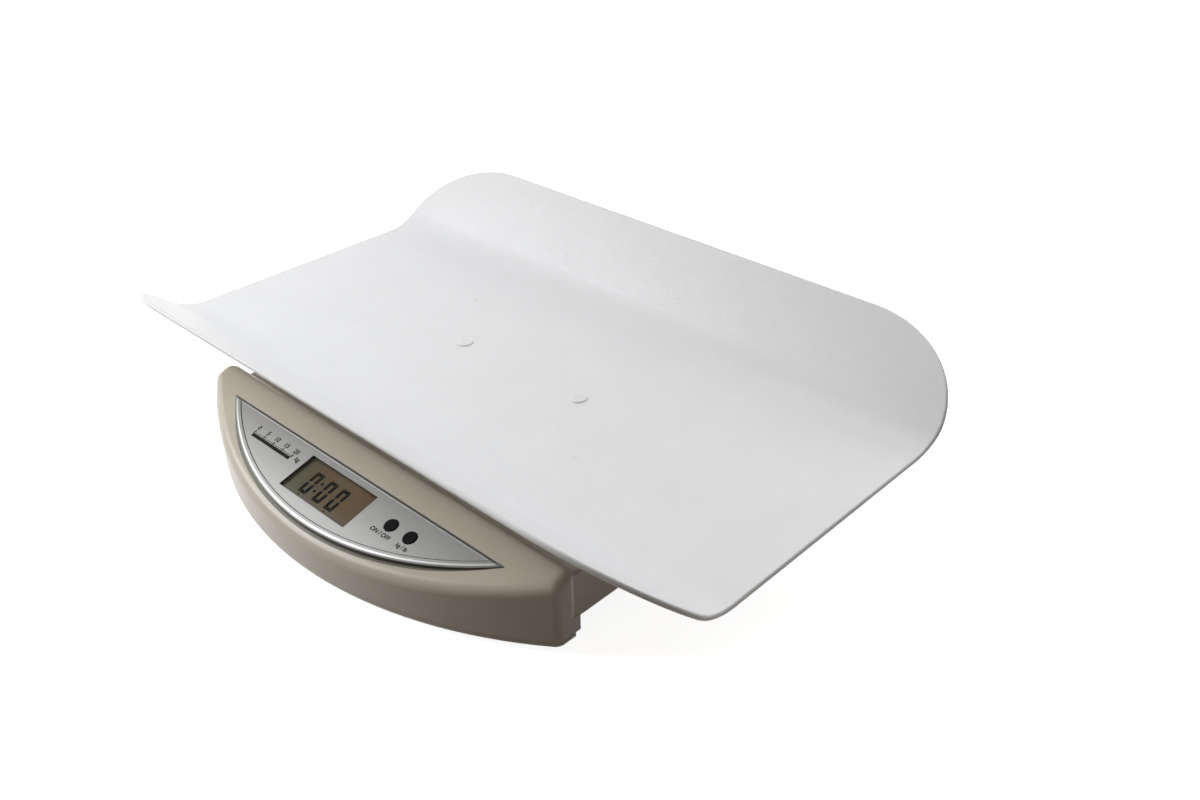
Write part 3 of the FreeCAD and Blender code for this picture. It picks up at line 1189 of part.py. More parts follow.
def power_leads():
    low = PLATE_TOP_Z + 2 * LEAD_RADIUS
    x = BATTERY_X1 - CELL_RADIUS
    y = BATTERY_Y0 - BOX_WALL
    from_cells = lead([(x, y, BATTERY_Z), (x, y - LEAD_RUN_OUT, BATTERY_Z),
                       (x + 2 * LEAD_RUN_OUT, y - 4 * LEAD_RUN_OUT, low)]
                      + connector_run("battery", low))
    y = jack_face_y() - JACK_LENGTH
    x = PLATE_HALF + 2 * LEAD_RUN_OUT
    from_inlet = lead([(JACK_X, y, JACK_Z), (JACK_X, y - LEAD_RUN_OUT, JACK_Z),
                       (x, y - 3 * LEAD_RUN_OUT, low),
                       (x, TRAY_MID_Y - PLATE_DEPTH / 2, low),
                       (x / 2, TRAY_MID_Y - PLATE_DEPTH / 2 - 2 * LEAD_RUN_OUT, low)]
                      + connector_run("inlet", low))
    return group([from_cells, from_inlet])


# ---------------------------------------------------------------- the whole scale
def build():
    nodes = {
        "base_upper_cover": upper_cover(),
        "base_lower_cover": lower_cover(),
        "battery_door": battery_door(),
        "bezel_plate": bezel_plate(),
        "bezel_adhesive": bezel_adhesive(),
        "display_window": display_window(),
        "display_gasket": display_gasket(),
        "lcd_panel": lcd_panel(),
        "lcd_holder": lcd_holder(),
        "lcd_rubber_connectors": lcd_connectors(),
        "main_circuit_board": main_circuit_board(),
        "circuit_components": circuit_components(),
        "board_screws": board_screws(),
        "tact_switches": tact_switches(),
        "stiffening_plate": stiffening_plate(),
        "plate_screws": plate_screws(),
        "load_cell": load_cell(),
        "strain_gauge_covers": strain_gauge_covers(),
        "load_cell_lower_spacer": spacer(FIXED_BOLTS, PLATE_TOP_Z, CELL_BOTTOM_Z),
        "load_cell_upper_spacer": spacer(FREE_BOLTS, CELL_TOP_Z, FRAME_BOTTOM_Z),
        "load_cell_base_bolts": group([countersunk_bolt(x) for x in FIXED_BOLTS]),
        "load_cell_frame_bolts": group([free_end_bolt(x) for x in FREE_BOLTS]),
        "load_cell_lead": load_cell_lead(),
        "overload_stop_screws": group([stop_screw(x, y) for x, y in STOPS]),
        "overload_stop_nuts": group([stop_nut(x, y) for x, y in STOPS]),
        "tray_support_frame": tray_support_frame(),
        "tray_cushion_pads": cushion_pads(),
        "tray_thread_inserts": thread_inserts(),
        "tray": tray(),
        "tray_screws": tray_screws(),
        "tray_screw_caps": screw_caps(),
        "case_screws": case_screws(),
        "power_inlet": power_inlet(),
        "power_leads": power_leads(),
        "battery_contact_plates": contact_plates(),
        "battery_contact_springs": contact_springs(),
    }
    for name, x in BUTTON_XS.items():
        nodes[name + "_button"] = button_cap(x)
        nodes[name + "_switch_stem"] = switch_stem(x)
    for name, (x, y) in foot_places().items():
        nodes[name] = rubber_foot(x, y)
    for index in range(BATTERY_COUNT):
        nodes["battery_%d" % (index + 1)] = battery(index)
    return nodes


os.makedirs("parts", exist_ok=True)
for node, shape in build().items():
    shape.exportStep("parts/%s.step" % node)
    print("%-26s solids %d valid %s volume %.0f" % (node, len(shape.Solids), shape.isValid(),
                                                    shape.Volume))
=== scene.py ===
# %% [markdown]
# # An electronic baby scale, dressed for a picture
#
# The scale comes as a packed engineering model: a white trough-shaped tray on a load cell, over
# a cream housing whose bow-shaped front carries a silver panel with a display and two buttons.
# This lesson keeps every engineering piece where it is and gives it the surface that it has in
# life. It builds the pieces that a moulder, a printer or a display maker would add: the gate
# marks on the tray, the numerals of the display and the printed lettering.
#
# The first cell loads the model. All lengths in Blender are metres, and all lengths in the
# comments and the named values are millimetres, so one factor turns the second into the first.

import math

import bmesh
import bpy
import numpy as np
from mathutils import Matrix, Vector


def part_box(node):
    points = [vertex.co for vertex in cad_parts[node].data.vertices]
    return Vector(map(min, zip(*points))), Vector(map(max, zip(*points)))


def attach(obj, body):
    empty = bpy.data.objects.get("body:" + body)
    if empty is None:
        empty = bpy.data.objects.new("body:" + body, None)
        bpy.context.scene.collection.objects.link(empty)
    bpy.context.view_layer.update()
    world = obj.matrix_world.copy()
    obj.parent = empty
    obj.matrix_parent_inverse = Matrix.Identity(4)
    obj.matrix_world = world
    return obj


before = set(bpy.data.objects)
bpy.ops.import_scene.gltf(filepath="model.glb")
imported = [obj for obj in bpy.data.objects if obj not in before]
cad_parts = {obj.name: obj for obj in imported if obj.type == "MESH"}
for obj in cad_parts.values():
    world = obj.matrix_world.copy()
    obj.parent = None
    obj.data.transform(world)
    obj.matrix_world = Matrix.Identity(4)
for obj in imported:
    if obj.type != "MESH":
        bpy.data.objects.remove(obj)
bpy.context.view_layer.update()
MM = 0.001
print("pieces in the model:", len(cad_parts))

# %% [markdown]
# ## Colours and material nodes
#
# Colours are written as the sRGB hex codes that a painter would note down. Blender's shaders
# count light, so the codes are turned to linear values: below a small threshold the sRGB curve
# is a straight line, above it a power of 2.4.

# %% Colour helper
def linear(code):
    """Linear RGBA of an sRGB hex code, by the sRGB transfer curve."""
    srgb = np.array([int(code[i:i + 2], 16) for i in (1, 3, 5)]) / 255.0
    low, high = srgb / 12.92, ((srgb + 0.055) / 1.055) ** 2.4
    return (*np.where(srgb <= 0.04045, low, high).tolist(), 1.0)


print("the code #808080 is", round(linear("#808080")[0], 3), "in light")

# %% [markdown]
# A material is a small graph of nodes. One helper adds a node, sets its properties and fills
# its inputs, so that every material below reads as a list of steps. An input takes a number, a
# hex colour, a node, or a recipe. A recipe is a function that adds what it needs to the tree and
# gives back the last node, so it can stand wherever a number can.

# %% Node helper
def feed(tree, socket, value):
    """Sets a socket to a number or a hex colour, or links what gives its value: one output, a
    node's first output in use, or what a recipe gives back."""
    if callable(value):
        value = value(tree)
    if isinstance(value, bpy.types.Node):
        value = next(output for output in value.outputs if output.enabled)
    if isinstance(value, bpy.types.NodeSocket):
        tree.links.new(value, socket)
    else:
        socket.default_value = linear(value) if isinstance(value, str) else value


def add(tree, kind, **settings):
    """Adds a node. A setting that is a property of the node is set first, because it decides
    which inputs are in use. Any other setting names an input, with _ for a space, and a list
    fills the inputs of that name in turn."""
    node = tree.nodes.new(kind)
    for name in [name for name in settings if hasattr(node, name)]:
        setattr(node, name, settings.pop(name))
    for name, values in settings.items():
        sockets = [s for s in node.inputs if s.enabled and s.name == name.replace("_", " ")]
        values = values if isinstance(values, list) else [values]
        for socket, value in zip(sockets, values, strict=True):
            feed(tree, socket, value)
    return node


# %% [markdown]
# Most of the surfaces here are the same few things underneath: a shader with a colour, a
# roughness and a little relief. The next helper makes that graph. The relief is a pattern from 0
# to 1, and the Bump node's distance gives it its height. All patterns read the tree's one node of
# Object coordinates: each piece sits at the origin with its place in its mesh, so these are plain
# metres in the scale's own frame, and a grain of 1 mm is a frequency of 1000 per metre.

# %% Surface helper
MATERIALS = {}


def surface(name, colour, rough, relief, relief_mm, **others):
    """A Principled material with a relief of this height. Any value may be a recipe, and others
    name further inputs of the shader, with _ for a space."""
    material = bpy.data.materials.new(name)
    material.use_nodes = True
    tree = material.node_tree
    add(tree, "ShaderNodeTexCoord", name="place")
    bump = add(tree, "ShaderNodeBump", Strength=1.0, Distance=relief_mm * MM, Height=relief)
    values = {"Base_Color": colour, "Roughness": rough, "Normal": bump, **others}
    for socket, value in values.items():
        feed(tree, tree.nodes["Principled BSDF"].inputs[socket.replace("_", " ")], value)
    MATERIALS[name] = material


def here(tree):
    """Recipe: the place that is shaded, in metres."""
    return tree.nodes["place"].outputs["Object"]


def per_metre(size_mm):
    """Pattern frequency for a feature of this size."""
    return 1.0 / (size_mm * MM)


# %% [markdown]
# No real surface is the same all over. Gloss, colour and height drift a little from place to
# place, and a cloudy noise is the plainest picture of that. Two recipes use it: one gives a
# number and the other a colour. Nearly all of such a noise lies in the middle of its range, so the
# colour makes its whole change there.

# %% Recipes for soft patches
def patches(size_mm, low=0.0, high=1.0, detail=2.0):
    """Recipe: a number that drifts between two values in soft patches of this size."""
    def recipe(tree):
        cloud = add(tree, "ShaderNodeTexNoise", Vector=here, Scale=per_metre(size_mm),
                    Detail=detail)
        return add(tree, "ShaderNodeMapRange", Value=cloud, To_Min=low, To_Max=high)
    return recipe


def tints(size_mm, first, second, detail=2.0, spread=(0.35, 0.65)):
    """Recipe: a colour that drifts between two hex codes in soft patches of this size. Spread
    gives the two values of the noise at which the colours are pure."""
    def recipe(tree):
        share = add(tree, "ShaderNodeMapRange", Value=patches(size_mm, detail=detail),
                    From_Min=spread[0], From_Max=spread[1])
        return add(tree, "ShaderNodeMix", data_type="RGBA", Factor=share, A=first, B=second)
    return recipe


# %% [markdown]
# ## White polystyrene tray
#
# The tray is moulded in white high-impact polystyrene. Its tool was etched with a fine leather
# grain, so the plastic looks soft and hides scratches: small raised cells, about 1 mm across,
# with narrow valleys between them. A Voronoi pattern's distance to the nearest cell border
# gives just that, and a noise that shifts the place first keeps the borders from being straight.
# A slower noise varies the gloss a little, as wiping does.

# %% Tray materials
TRAY_GRAIN = 1.6             # about half as coarse again as the real one, so that it shows
WOBBLE_SIZE, WOBBLE_REACH = 2.6, 0.9         # of the borders, as shares of the cells' size
VALLEY = 0.35                # distance from a border at which a cell is at its full height


def pebble(size_mm):
    """Recipe: rounded cells of this size with narrow valleys between them, from 0 on a border
    to 1 on a cell."""
    def recipe(tree):
        wobble = add(tree, "ShaderNodeTexNoise", Vector=here,
                     Scale=per_metre(WOBBLE_SIZE * size_mm), Detail=1.0)
        shift = add(tree, "ShaderNodeVectorMath", operation="SCALE",
                    Vector=wobble.outputs["Color"], Scale=WOBBLE_REACH * size_mm * MM)
        place = add(tree, "ShaderNodeVectorMath", operation="ADD", Vector=[here, shift])
        cells = add(tree, "ShaderNodeTexVoronoi", feature="DISTANCE_TO_EDGE", Vector=place,
                    Scale=per_metre(size_mm))
        return add(tree, "ShaderNodeMapRange", interpolation_type="SMOOTHSTEP", Value=cells,
                   From_Max=VALLEY)
    return recipe


surface("polystyrene_leather_grained", tints(45.0, "#eff1f4", "#f1f3f6"),
        patches(30.0, 0.36, 0.42), pebble(TRAY_GRAIN), 0.08, IOR=1.59, Specular_IOR_Level=0.5)
# The screw caps are moulded in a polished tool, so they shine a little more than the tray.
surface("polystyrene_smooth", "#eef0f2", patches(6.0, 0.22, 0.3), patches(3.0), 0.01, IOR=1.59)
print("the tray's cells are", TRAY_GRAIN, "mm across")

# %% [markdown]
# ## The panel's own plane
#
# The display panel slopes, so everything that is printed on it or lies under its window is laid
# out in the panel's axes: x along the panel, drop down its slope from the straight upper edge,
# and depth into it. The slope and the edge repeat the model's own values, and the last line
# checks them against the box of the window's sheet, whose upper front edge lies at a known drop
# and depth.

# %% Panel axes
PANEL_SLOPE = math.radians(15.5)
PANEL_EDGE_Y, PANEL_EDGE_Z = -136.074, 49.8
ACROSS_PANEL = np.array([1.0, 0.0, 0.0])
DOWN_PANEL = np.array([0.0, -math.cos(PANEL_SLOPE), -math.sin(PANEL_SLOPE)])
INTO_PANEL = np.array([0.0, math.sin(PANEL_SLOPE), -math.cos(PANEL_SLOPE)])
BEZEL_RECESS = 0.35          # the printed field lies this deep inside the plate's rim
WINDOW_TOP = 21.9 - 15.1     # drop of the opening's upper wall: its middle less half its height
SHEET_MARGIN, SHEET_DEPTH = 4.2, 1.5         # the sheet reaches past the opening, and lies deeper


def on_panel(x, drop, depth):
    """Points of the panel, in metres: edge + drop along the slope + depth into the panel."""
    x, drop, depth = np.broadcast_arrays(x, drop, depth)
    edge = np.stack([x, np.full(x.shape, PANEL_EDGE_Y), np.full(x.shape, PANEL_EDGE_Z)], -1)
    return (edge + drop[..., None] * DOWN_PANEL + depth[..., None] * INTO_PANEL) * MM


window_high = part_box("display_window")[1]
front_top = on_panel(0.0, WINDOW_TOP - SHEET_MARGIN, SHEET_DEPTH)
print("window's top is off by", round((window_high.z - front_top[2]) / MM, 3), "mm")

# %% [markdown]
# A finish can change along these axes too: a coat that thins on a bevel, or a shade under an
# edge. Two recipes give a material its distance along an axis, and a number that changes between
# two such distances.

# %% Recipes along the panel's axes
def panel_distance(axis):
    """Recipe: the distance in millimetres along one of the panel's axes, which is the dot
    product of the place and the axis, less that of the panel's edge."""
    edge = PANEL_EDGE_Y * axis[1] + PANEL_EDGE_Z * axis[2]

    def recipe(tree):
        product = add(tree, "ShaderNodeVectorMath", operation="DOT_PRODUCT",
                      Vector=[here, tuple(axis / MM)])
        return add(tree, "ShaderNodeMath", operation="SUBTRACT", Value=[product, edge])
    return recipe


def panel_change(axis, start, end, low=0.0, high=1.0):
    """Recipe: a number that goes from low to high between two distances along an axis."""
    def recipe(tree):
        return add(tree, "ShaderNodeMapRange", Value=panel_distance(axis), From_Min=start,
                   From_Max=end, To_Min=low, To_Max=high)
    return recipe


# %% [markdown]
# ## Cream ABS housing
#
# The covers are moulded in warm cream ABS in a polished tool. The surface is satin with a long
# soft highlight, and has the very faint orange-peel that thick mouldings keep. Colour noise at a
# few centimetres stands for the slight flow marks of a pale pigment, and it stays so faint that it
# is felt rather than seen. Round the bow of the panel's plate runs a narrow band of painted grey
# shade, which stands for the shadow under the plate's edge. A place belongs to it by its distance
# from the bow's centre.

# %% Housing materials
BOW_HALF, BOW_DROP = 145.5, 50.2             # half chord and height of the plate's outline
BOW_RADIUS = (BOW_HALF ** 2 + BOW_DROP ** 2) / (2 * BOW_DROP)
BOW_CENTRE = BOW_DROP - BOW_RADIUS           # its drop, so it lies behind the straight edge
BOW_SHADE_WIDTH, BOW_SHADE_EDGE = 2.3, 0.35            # at its widest, and the softness of its border
BOW_SHADE_FULL = 0.6 * BOW_DROP                   # from this drop on it has its full width
BOW_SHADE_TIPS = (0.5, 2.0)                       # drops over which it fades out at its two ends
BOW_SHADE_DEPTHS = (7.0, 8.0)                     # depths over which it ends on the cover's wall


def from_centre(tree):
    """Recipe: the distance in millimetres from the bow's centre, which is the length of
    (x, drop - the centre's drop)."""
    down = add(tree, "ShaderNodeMath", operation="SUBTRACT",
               Value=[panel_distance(DOWN_PANEL), BOW_CENTRE])
    flat = add(tree, "ShaderNodeCombineXYZ", X=panel_distance(ACROSS_PANEL), Y=down)
    return add(tree, "ShaderNodeVectorMath", operation="LENGTH", Vector=flat)


# Painted shade: a grey band round the bow stands for the shadow under the plate's edge.
def seat(tree):
    """Recipe: 1 on the band of painted shade round the plate's bow and 0 off it. The band reaches
    past the bow by a width that narrows towards the tips, and it ends not far under the panel's
    plane."""
    width = panel_change(DOWN_PANEL, 0.0, BOW_SHADE_FULL, 0.0, BOW_SHADE_WIDTH)
    reach = add(tree, "ShaderNodeMath", operation="SUBTRACT", Value=[from_centre, width])
    within = add(tree, "ShaderNodeMapRange", Value=reach, From_Min=BOW_RADIUS - BOW_SHADE_EDGE,
                 From_Max=BOW_RADIUS, To_Min=1.0, To_Max=0.0)
    shallow = add(tree, "ShaderNodeMath", operation="MULTIPLY",
                  Value=[within, panel_change(INTO_PANEL, *BOW_SHADE_DEPTHS, 1.0, 0.0)])
    return add(tree, "ShaderNodeMath", operation="MULTIPLY",
               Value=[shallow, panel_change(DOWN_PANEL, *BOW_SHADE_TIPS)])


def cream(tree):
    """Recipe: the cream pigment with its faint flow marks, and a grey painted shade round the
    plate's bow.
    """
    return add(tree, "ShaderNodeMix", data_type="RGBA", Factor=seat,
               A=tints(40.0, "#d7d1c1", "#dad4c4"), B="#87857a")


surface("abs_cream_polished", cream, patches(30.0, 0.28, 0.32), patches(2.2), 0.003, IOR=1.54,
        Specular_IOR_Level=0.3)
# The door on the underside comes from a plainer tool, so it is duller and a little darker.
surface("abs_cream_underside", tints(35.0, "#cbc4b2", "#cfc8b7"), patches(20.0, 0.5, 0.58),
        patches(0.6), 0.015, IOR=1.54)
print("radius of the bow:", round(BOW_RADIUS, 1), "mm")

# %% [markdown]
# ## Silver lacquer and printing ink
#
# The panel's plate is sprayed with silver lacquer: aluminium flakes in a clear binder. The flakes
# are far too small to see one by one, so a noise of a third of a millimetre, as coarse as it needs
# to be to show, gives the fine sparkle. The coat is full on the face and thin on the bevelled
# edge. The skirt under it and the upper wall of the window's opening are painted dark grey, as
# painted shade. A band along the straight rim is painted a darker grey, as painted shade under the
# tray's edge. The depth under the panel's plane tells face, bevel and skirt apart. The screen
# printing on the plate is a thick matt ink.

# %% Panel materials
FLAKE = 0.35
BEVEL_STARTS, SKIRT_STARTS = 0.45, 0.85      # depths under the panel's plane
COAT_EDGE = 0.05                             # half of the depth over which a coat changes
REAR_RIM = 2.2                               # width of the rim along the straight edge
REAR_EDGE = 0.3                              # the rim's painted shade changes over this width
SKIRT_WALL, SKIRT_EDGE = 1.7, 0.1            # the skirt lies this near to the outline
WALL_EDGE = (0.2, 0.4)                       # the painted shade on the opening's upper wall ends this far on


def below(starts, above=0.0, under=1.0):
    """Recipe: one number above a depth of the plate and another under it."""
    return panel_change(INTO_PANEL, starts - COAT_EDGE, starts + COAT_EDGE, above, under)


def bare(tree):
    """Recipe: 1 on the walls that are painted dark as shade and 0 elsewhere. These are the skirt
    along the outline, and the upper wall of the window's opening."""
    outline = add(tree, "ShaderNodeMapRange", Value=from_centre,
                  From_Min=BOW_RADIUS - SKIRT_WALL - SKIRT_EDGE,
                  From_Max=BOW_RADIUS - SKIRT_WALL)
    opening = panel_change(DOWN_PANEL, WINDOW_TOP + WALL_EDGE[0], WINDOW_TOP + WALL_EDGE[1],
                           1.0, 0.0)
    walls = add(tree, "ShaderNodeMath", operation="MAXIMUM", Value=[opening, outline])
    return add(tree, "ShaderNodeMath", operation="MULTIPLY", Value=[walls, below(SKIRT_STARTS)])


def sprayed(tree):
    """Recipe: light and dark flakes on the face, a thin coat on the bevel, a darker grey painted
    shade along the straight rim, and a dark grey painted shade on the skirt and the opening's
    upper wall."""
    colour = tints(FLAKE, "#b4b5b4", "#c6c7c6", detail=1.0, spread=(0.3, 0.7))
    rear = panel_change(DOWN_PANEL, REAR_RIM - REAR_EDGE, REAR_RIM, 1.0, 0.0)
    # The rim's grey and the walls' dark grey are painted shade.
    for share, coat in ((below(BEVEL_STARTS), "#8c8d8b"), (rear, "#82837f"), (bare, "#4d4c44")):
        colour = add(tree, "ShaderNodeMix", data_type="RGBA", Factor=share, A=colour, B=coat)
    return colour


def flake_share(tree):
    """Recipe: how metallic the coat is. It is full on the face, thin on the bevel, and there
    is none on the skirt."""
    return add(tree, "ShaderNodeMath", operation="MULTIPLY",
               Value=[below(BEVEL_STARTS, 0.55, 0.15), below(SKIRT_STARTS, 1.0, 0.0)])


surface("silver_lacquer", sprayed, below(BEVEL_STARTS, 0.36, 0.42), patches(FLAKE, detail=1.0),
        0.003, Metallic=flake_share, Specular_IOR_Level=below(BEVEL_STARTS, 0.5, 0.2))
# The second, dark grey material is not ink: it is painted shadow, for the line along the bow.
for name, ink in (("printed_ink_black", "#0c0c0c"), ("painted_shadow_dark", "#434442")):
    surface(name, ink, patches(1.0, 0.5, 0.65), patches(0.3), 0.004, Specular_IOR_Level=0.15)
print("materials so far:", len(MATERIALS))

# %% [markdown]
# ## Display
#
# The display is a reflective liquid crystal cell. Its back is an olive foil that turns browner
# towards the upper right, where the cell's tint is seen more steeply, and a cloudy noise keeps
# the change from being even. The driven segments are nearly black at the foot and a little
# paler at the top. The window in front of it is clear acrylic. A sheet of the real one's index
# would mirror too much of a white studio, so its index is set far lower.

# %% Display materials
CELL_SLANT = 0.5 * ACROSS_PANEL - 0.8 * DOWN_PANEL     # to the right and up over the cell
OLIVE_UNTIL, BROWN_FROM = -44.0, 4.0         # distances along the slant
CLOUD_SIZE, CLOUD_SHIFT = 17.0, 0.5          # the clouds shift the change by up to this share
EDGE_SHADE = (5.6, 8.6)                      # drops over which the window edge's shade ends
SEGMENTS_DARKEN = (15.0, 27.0)               # drops over which the segments turn black


def up_and_right(tree):
    """Recipe: 0 at the lower left of the cell and 1 at its upper right, with clouds."""
    return add(tree, "ShaderNodeMath", operation="ADD", use_clamp=True,
               Value=[panel_change(CELL_SLANT, OLIVE_UNTIL, BROWN_FROM),
                      patches(CLOUD_SIZE, -CLOUD_SHIFT, CLOUD_SHIFT)])


def foil(tree):
    """Recipe: olive to brown along the slant, and darker in the shade of the window's edge."""
    tint = add(tree, "ShaderNodeMix", data_type="RGBA", Factor=up_and_right, A="#5f5d4d",
               B="#6c5440")
    return add(tree, "ShaderNodeMix", data_type="RGBA",
               Factor=panel_change(DOWN_PANEL, *EDGE_SHADE, 1.0, 0.0), A=tint, B="#2f2b25")


def driven(tree):
    """Recipe: brownish black at the top of the segments and full black at their foot."""
    return add(tree, "ShaderNodeMix", data_type="RGBA",
               Factor=panel_change(DOWN_PANEL, *SEGMENTS_DARKEN), A="#140d09", B="#020202")


surface("liquid_crystal_foil", foil, patches(0.5, 0.35, 0.5), patches(0.4), 0.004, IOR=1.52,
        Specular_IOR_Level=0.15)
surface("liquid_crystal_segment", driven, patches(0.5, 0.5, 0.6), patches(0.4), 0.003,
        Specular_IOR_Level=0.03)
surface("acrylic_clear", "#fafbf8", patches(20.0, 0.01, 0.02), patches(25.0), 0.002, IOR=1.18,
        Specular_IOR_Level=0.12, Transmission_Weight=1.0)
print("materials so far:", len(MATERIALS))

# %% [markdown]
# ## Buttons, and what lies inside
#
# The buttons are black silicone-coated caps with a spark-eroded face: a matt, evenly pitted
# surface that reflects only at its rim. The pieces inside are seen through the open battery door
# or not at all, so each takes the plainest finish that is still its own: a pair of near colours, a
# gloss that drifts and a fine relief.

# %% Button and inner materials
surface("button_black_eroded", tints(0.5, "#050505", "#0a0908"), patches(0.5, 0.5, 0.65),
        pebble(0.45), 0.04, Specular_IOR_Level=0.1)
# Glass-filled nylon is black with a dull, slightly rough skin.
surface("nylon_black", tints(4.0, "#17181a", "#202124"), patches(3.0, 0.4, 0.55), patches(0.5),
        0.02)
# Unpainted ABS of an inner moulding is off-white and half matt.
surface("abs_white_inner", tints(8.0, "#dcdcd8", "#e6e6e2"), patches(5.0, 0.4, 0.5),
        patches(0.8), 0.015)
# Foam has open pores that swallow the light: no gloss, and specks at the size of the pores.
surface("foam_olive", tints(0.4, "#474336", "#524e40"), patches(0.4, 0.8, 0.95), patches(0.35),
        0.06)
surface("foam_dark", tints(0.4, "#1b1b1c", "#2c2c2e"), patches(0.4, 0.8, 0.95), patches(0.35),
        0.1)
# Solder mask is a glossy green lacquer over copper, which makes it cloudy.
surface("solder_mask_green", tints(3.0, "#17492b", "#1f5a36"), patches(2.0, 0.25, 0.4),
        patches(1.0), 0.01)
# Rubber feet and pads come from a blasted tool: dark grey, matt and finely pitted.
surface("rubber_grey_matt", tints(1.2, "#2a2b2d", "#37383a"), patches(0.8, 0.7, 0.85),
        pebble(0.6), 0.05)
# The sealant over the strain gauges is poured silicone: white, uneven and half glossy.
surface("silicone_white", tints(3.0, "#dedfdb", "#ececea"), patches(2.0, 0.35, 0.5),
        patches(2.0), 0.08)
# A lead's sheath is drawn PVC, black with a soft gloss.
surface("pvc_black_sheath", "#131314", patches(2.0, 0.35, 0.5), patches(0.7), 0.02)
print("materials so far:", len(MATERIALS))

# %% [markdown]
# Metals keep the shader's default index of refraction. Zinc plate is bright with a blue cast and
# a slightly cloudy gloss. Milled aluminium and turned brass show the cutter's fine parallel
# lines, which a wave texture draws.

# %% Metal materials
CUTTER_PITCH = 0.66          # three times as coarse as the real lines, so that they show
WAVE_PERIOD = 2 * math.pi / 20               # of Blender's wave texture at a scale of 1


def cutter_lines(low=0.0, high=1.0):
    """Recipe: a number that goes to and fro between two values in fine lines along Y, from a
    wave in X bent by a little noise."""
    def recipe(tree):
        wave = add(tree, "ShaderNodeTexWave", Vector=here,
                   Scale=WAVE_PERIOD * per_metre(CUTTER_PITCH), Distortion=1.5, Detail=2.0)
        return add(tree, "ShaderNodeMapRange", Value=wave.outputs["Fac"], To_Min=low,
                   To_Max=high)
    return recipe


surface("steel_zinc_plated", tints(5.0, "#9fa3a8", "#b7bbbf", detail=3.0),
        patches(3.0, 0.22, 0.38), patches(1.0), 0.006, Metallic=1.0)
surface("aluminium_milled", tints(6.0, "#c1c3c6", "#cfd1d3"), cutter_lines(0.28, 0.42),
        cutter_lines(), 0.006, Metallic=1.0)
surface("brass_turned", tints(3.0, "#b8964f", "#c9a75f"), cutter_lines(0.22, 0.35),
        cutter_lines(), 0.005, Metallic=1.0)
# A battery's wrap is a thin metallised film, half metal and half plastic to the eye.
surface("battery_wrap_foil", tints(12.0, "#2b2f37", "#343944"), patches(4.0, 0.2, 0.3),
        patches(3.0), 0.01, Metallic=0.5)
print("materials:", len(MATERIALS))

# %% [markdown]
# ## Giving the model's own pieces their finish
#
# The pieces of the engineering model already have their true shape. Each one only takes a
# material, through its material slots. The list runs by finish, and the last line prints any
# piece that the list forgot.

# %% Dress the model's pieces
FINISHES = {
    "abs_cream_polished": ["base_upper_cover", "base_lower_cover"],
    "abs_cream_underside": ["battery_door"],
    "polystyrene_smooth": ["tray_screw_caps"],
    "polystyrene_leather_grained": ["tray"],
    "silver_lacquer": ["bezel_plate"],
    "acrylic_clear": ["display_window"],
    "liquid_crystal_foil": ["lcd_panel"],
    "button_black_eroded": ["on_off_button", "unit_button"],
    "nylon_black": ["on_off_switch_stem", "unit_switch_stem", "tact_switches", "power_inlet",
                    "circuit_components"],
    "abs_white_inner": ["lcd_holder"],
    "foam_olive": ["display_gasket"],
    "foam_dark": ["bezel_adhesive", "lcd_rubber_connectors"],
    "solder_mask_green": ["main_circuit_board"],
    "rubber_grey_matt": ["tray_cushion_pads", "foot_front_left", "foot_front_right",
                         "foot_rear_left", "foot_rear_right"],
    "silicone_white": ["strain_gauge_covers"],
    "pvc_black_sheath": ["load_cell_lead", "power_leads"],
    "aluminium_milled": ["load_cell", "tray_support_frame"],
    "brass_turned": ["tray_thread_inserts"],
    "battery_wrap_foil": ["battery_1", "battery_2", "battery_3", "battery_4"],
    "steel_zinc_plated": ["stiffening_plate", "plate_screws", "load_cell_lower_spacer",
                          "load_cell_upper_spacer", "load_cell_base_bolts",
                          "load_cell_frame_bolts", "overload_stop_screws", "overload_stop_nuts",
                          "tray_screws", "case_screws", "board_screws", "battery_contact_plates",
                          "battery_contact_springs"],
}


def paint(piece, finish):
    """Puts one material in place of all the piece's slots."""
    piece.data.materials.clear()
    piece.data.materials.append(MATERIALS[finish])


for finish, names in FINISHES.items():
    for name in names:
        paint(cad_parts[name], finish)
undressed = set(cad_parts) - {name for names in FINISHES.values() for name in names}
print("pieces without a finish:", sorted(undressed))

# %% [markdown]
# ## Thin printed and etched pieces
#
# A printed bar, a display segment and a tick are flat shapes with a few corners and hardly any
# thickness. Each is a closed prism: the outline's points once in front and once behind, a face
# over each end and a ring of four-cornered faces round the side. All outlines of one piece go
# into one mesh.

# %% Prism helper
INK = 0.02                   # half the thickness of what is printed, etched or driven


def new_piece(name, points, faces, finish, body):
    """Puts arrays into a mesh object that rides on a body and has a finish."""
    mesh = bpy.data.meshes.new(name)
    mesh.from_pydata(points.tolist(), [], faces)
    mesh.update()
    piece = bpy.data.objects.new(name, mesh)
    bpy.context.scene.collection.objects.link(piece)
    paint(piece, finish)
    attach(piece, body)


def prisms(name, outlines, depth, finish, body):
    """Closed prisms from outlines of (x, drop), half of their thickness to each side of a
    depth."""
    points, faces, start = [], [], 0
    for outline in outlines:
        x, drop = np.asarray(outline, float).T
        area = np.sum(x * np.roll(drop, -1) - np.roll(x, -1) * drop)
        if area > 0:        # seen from outside, drop runs down, so turn it to face out
            x, drop = x[::-1], drop[::-1]
        n = len(x)
        points += [on_panel(x, drop, depth - INK), on_panel(x, drop, depth + INK)]
        ring = start + np.arange(n)
        after = start + (np.arange(n) + 1) % n
        faces += [ring.tolist(), (ring[::-1] + n).tolist()]
        faces += np.stack([ring, ring + n, after + n, after], -1).tolist()
        start += 2 * n
    new_piece(name, np.concatenate(points), faces, finish, body)


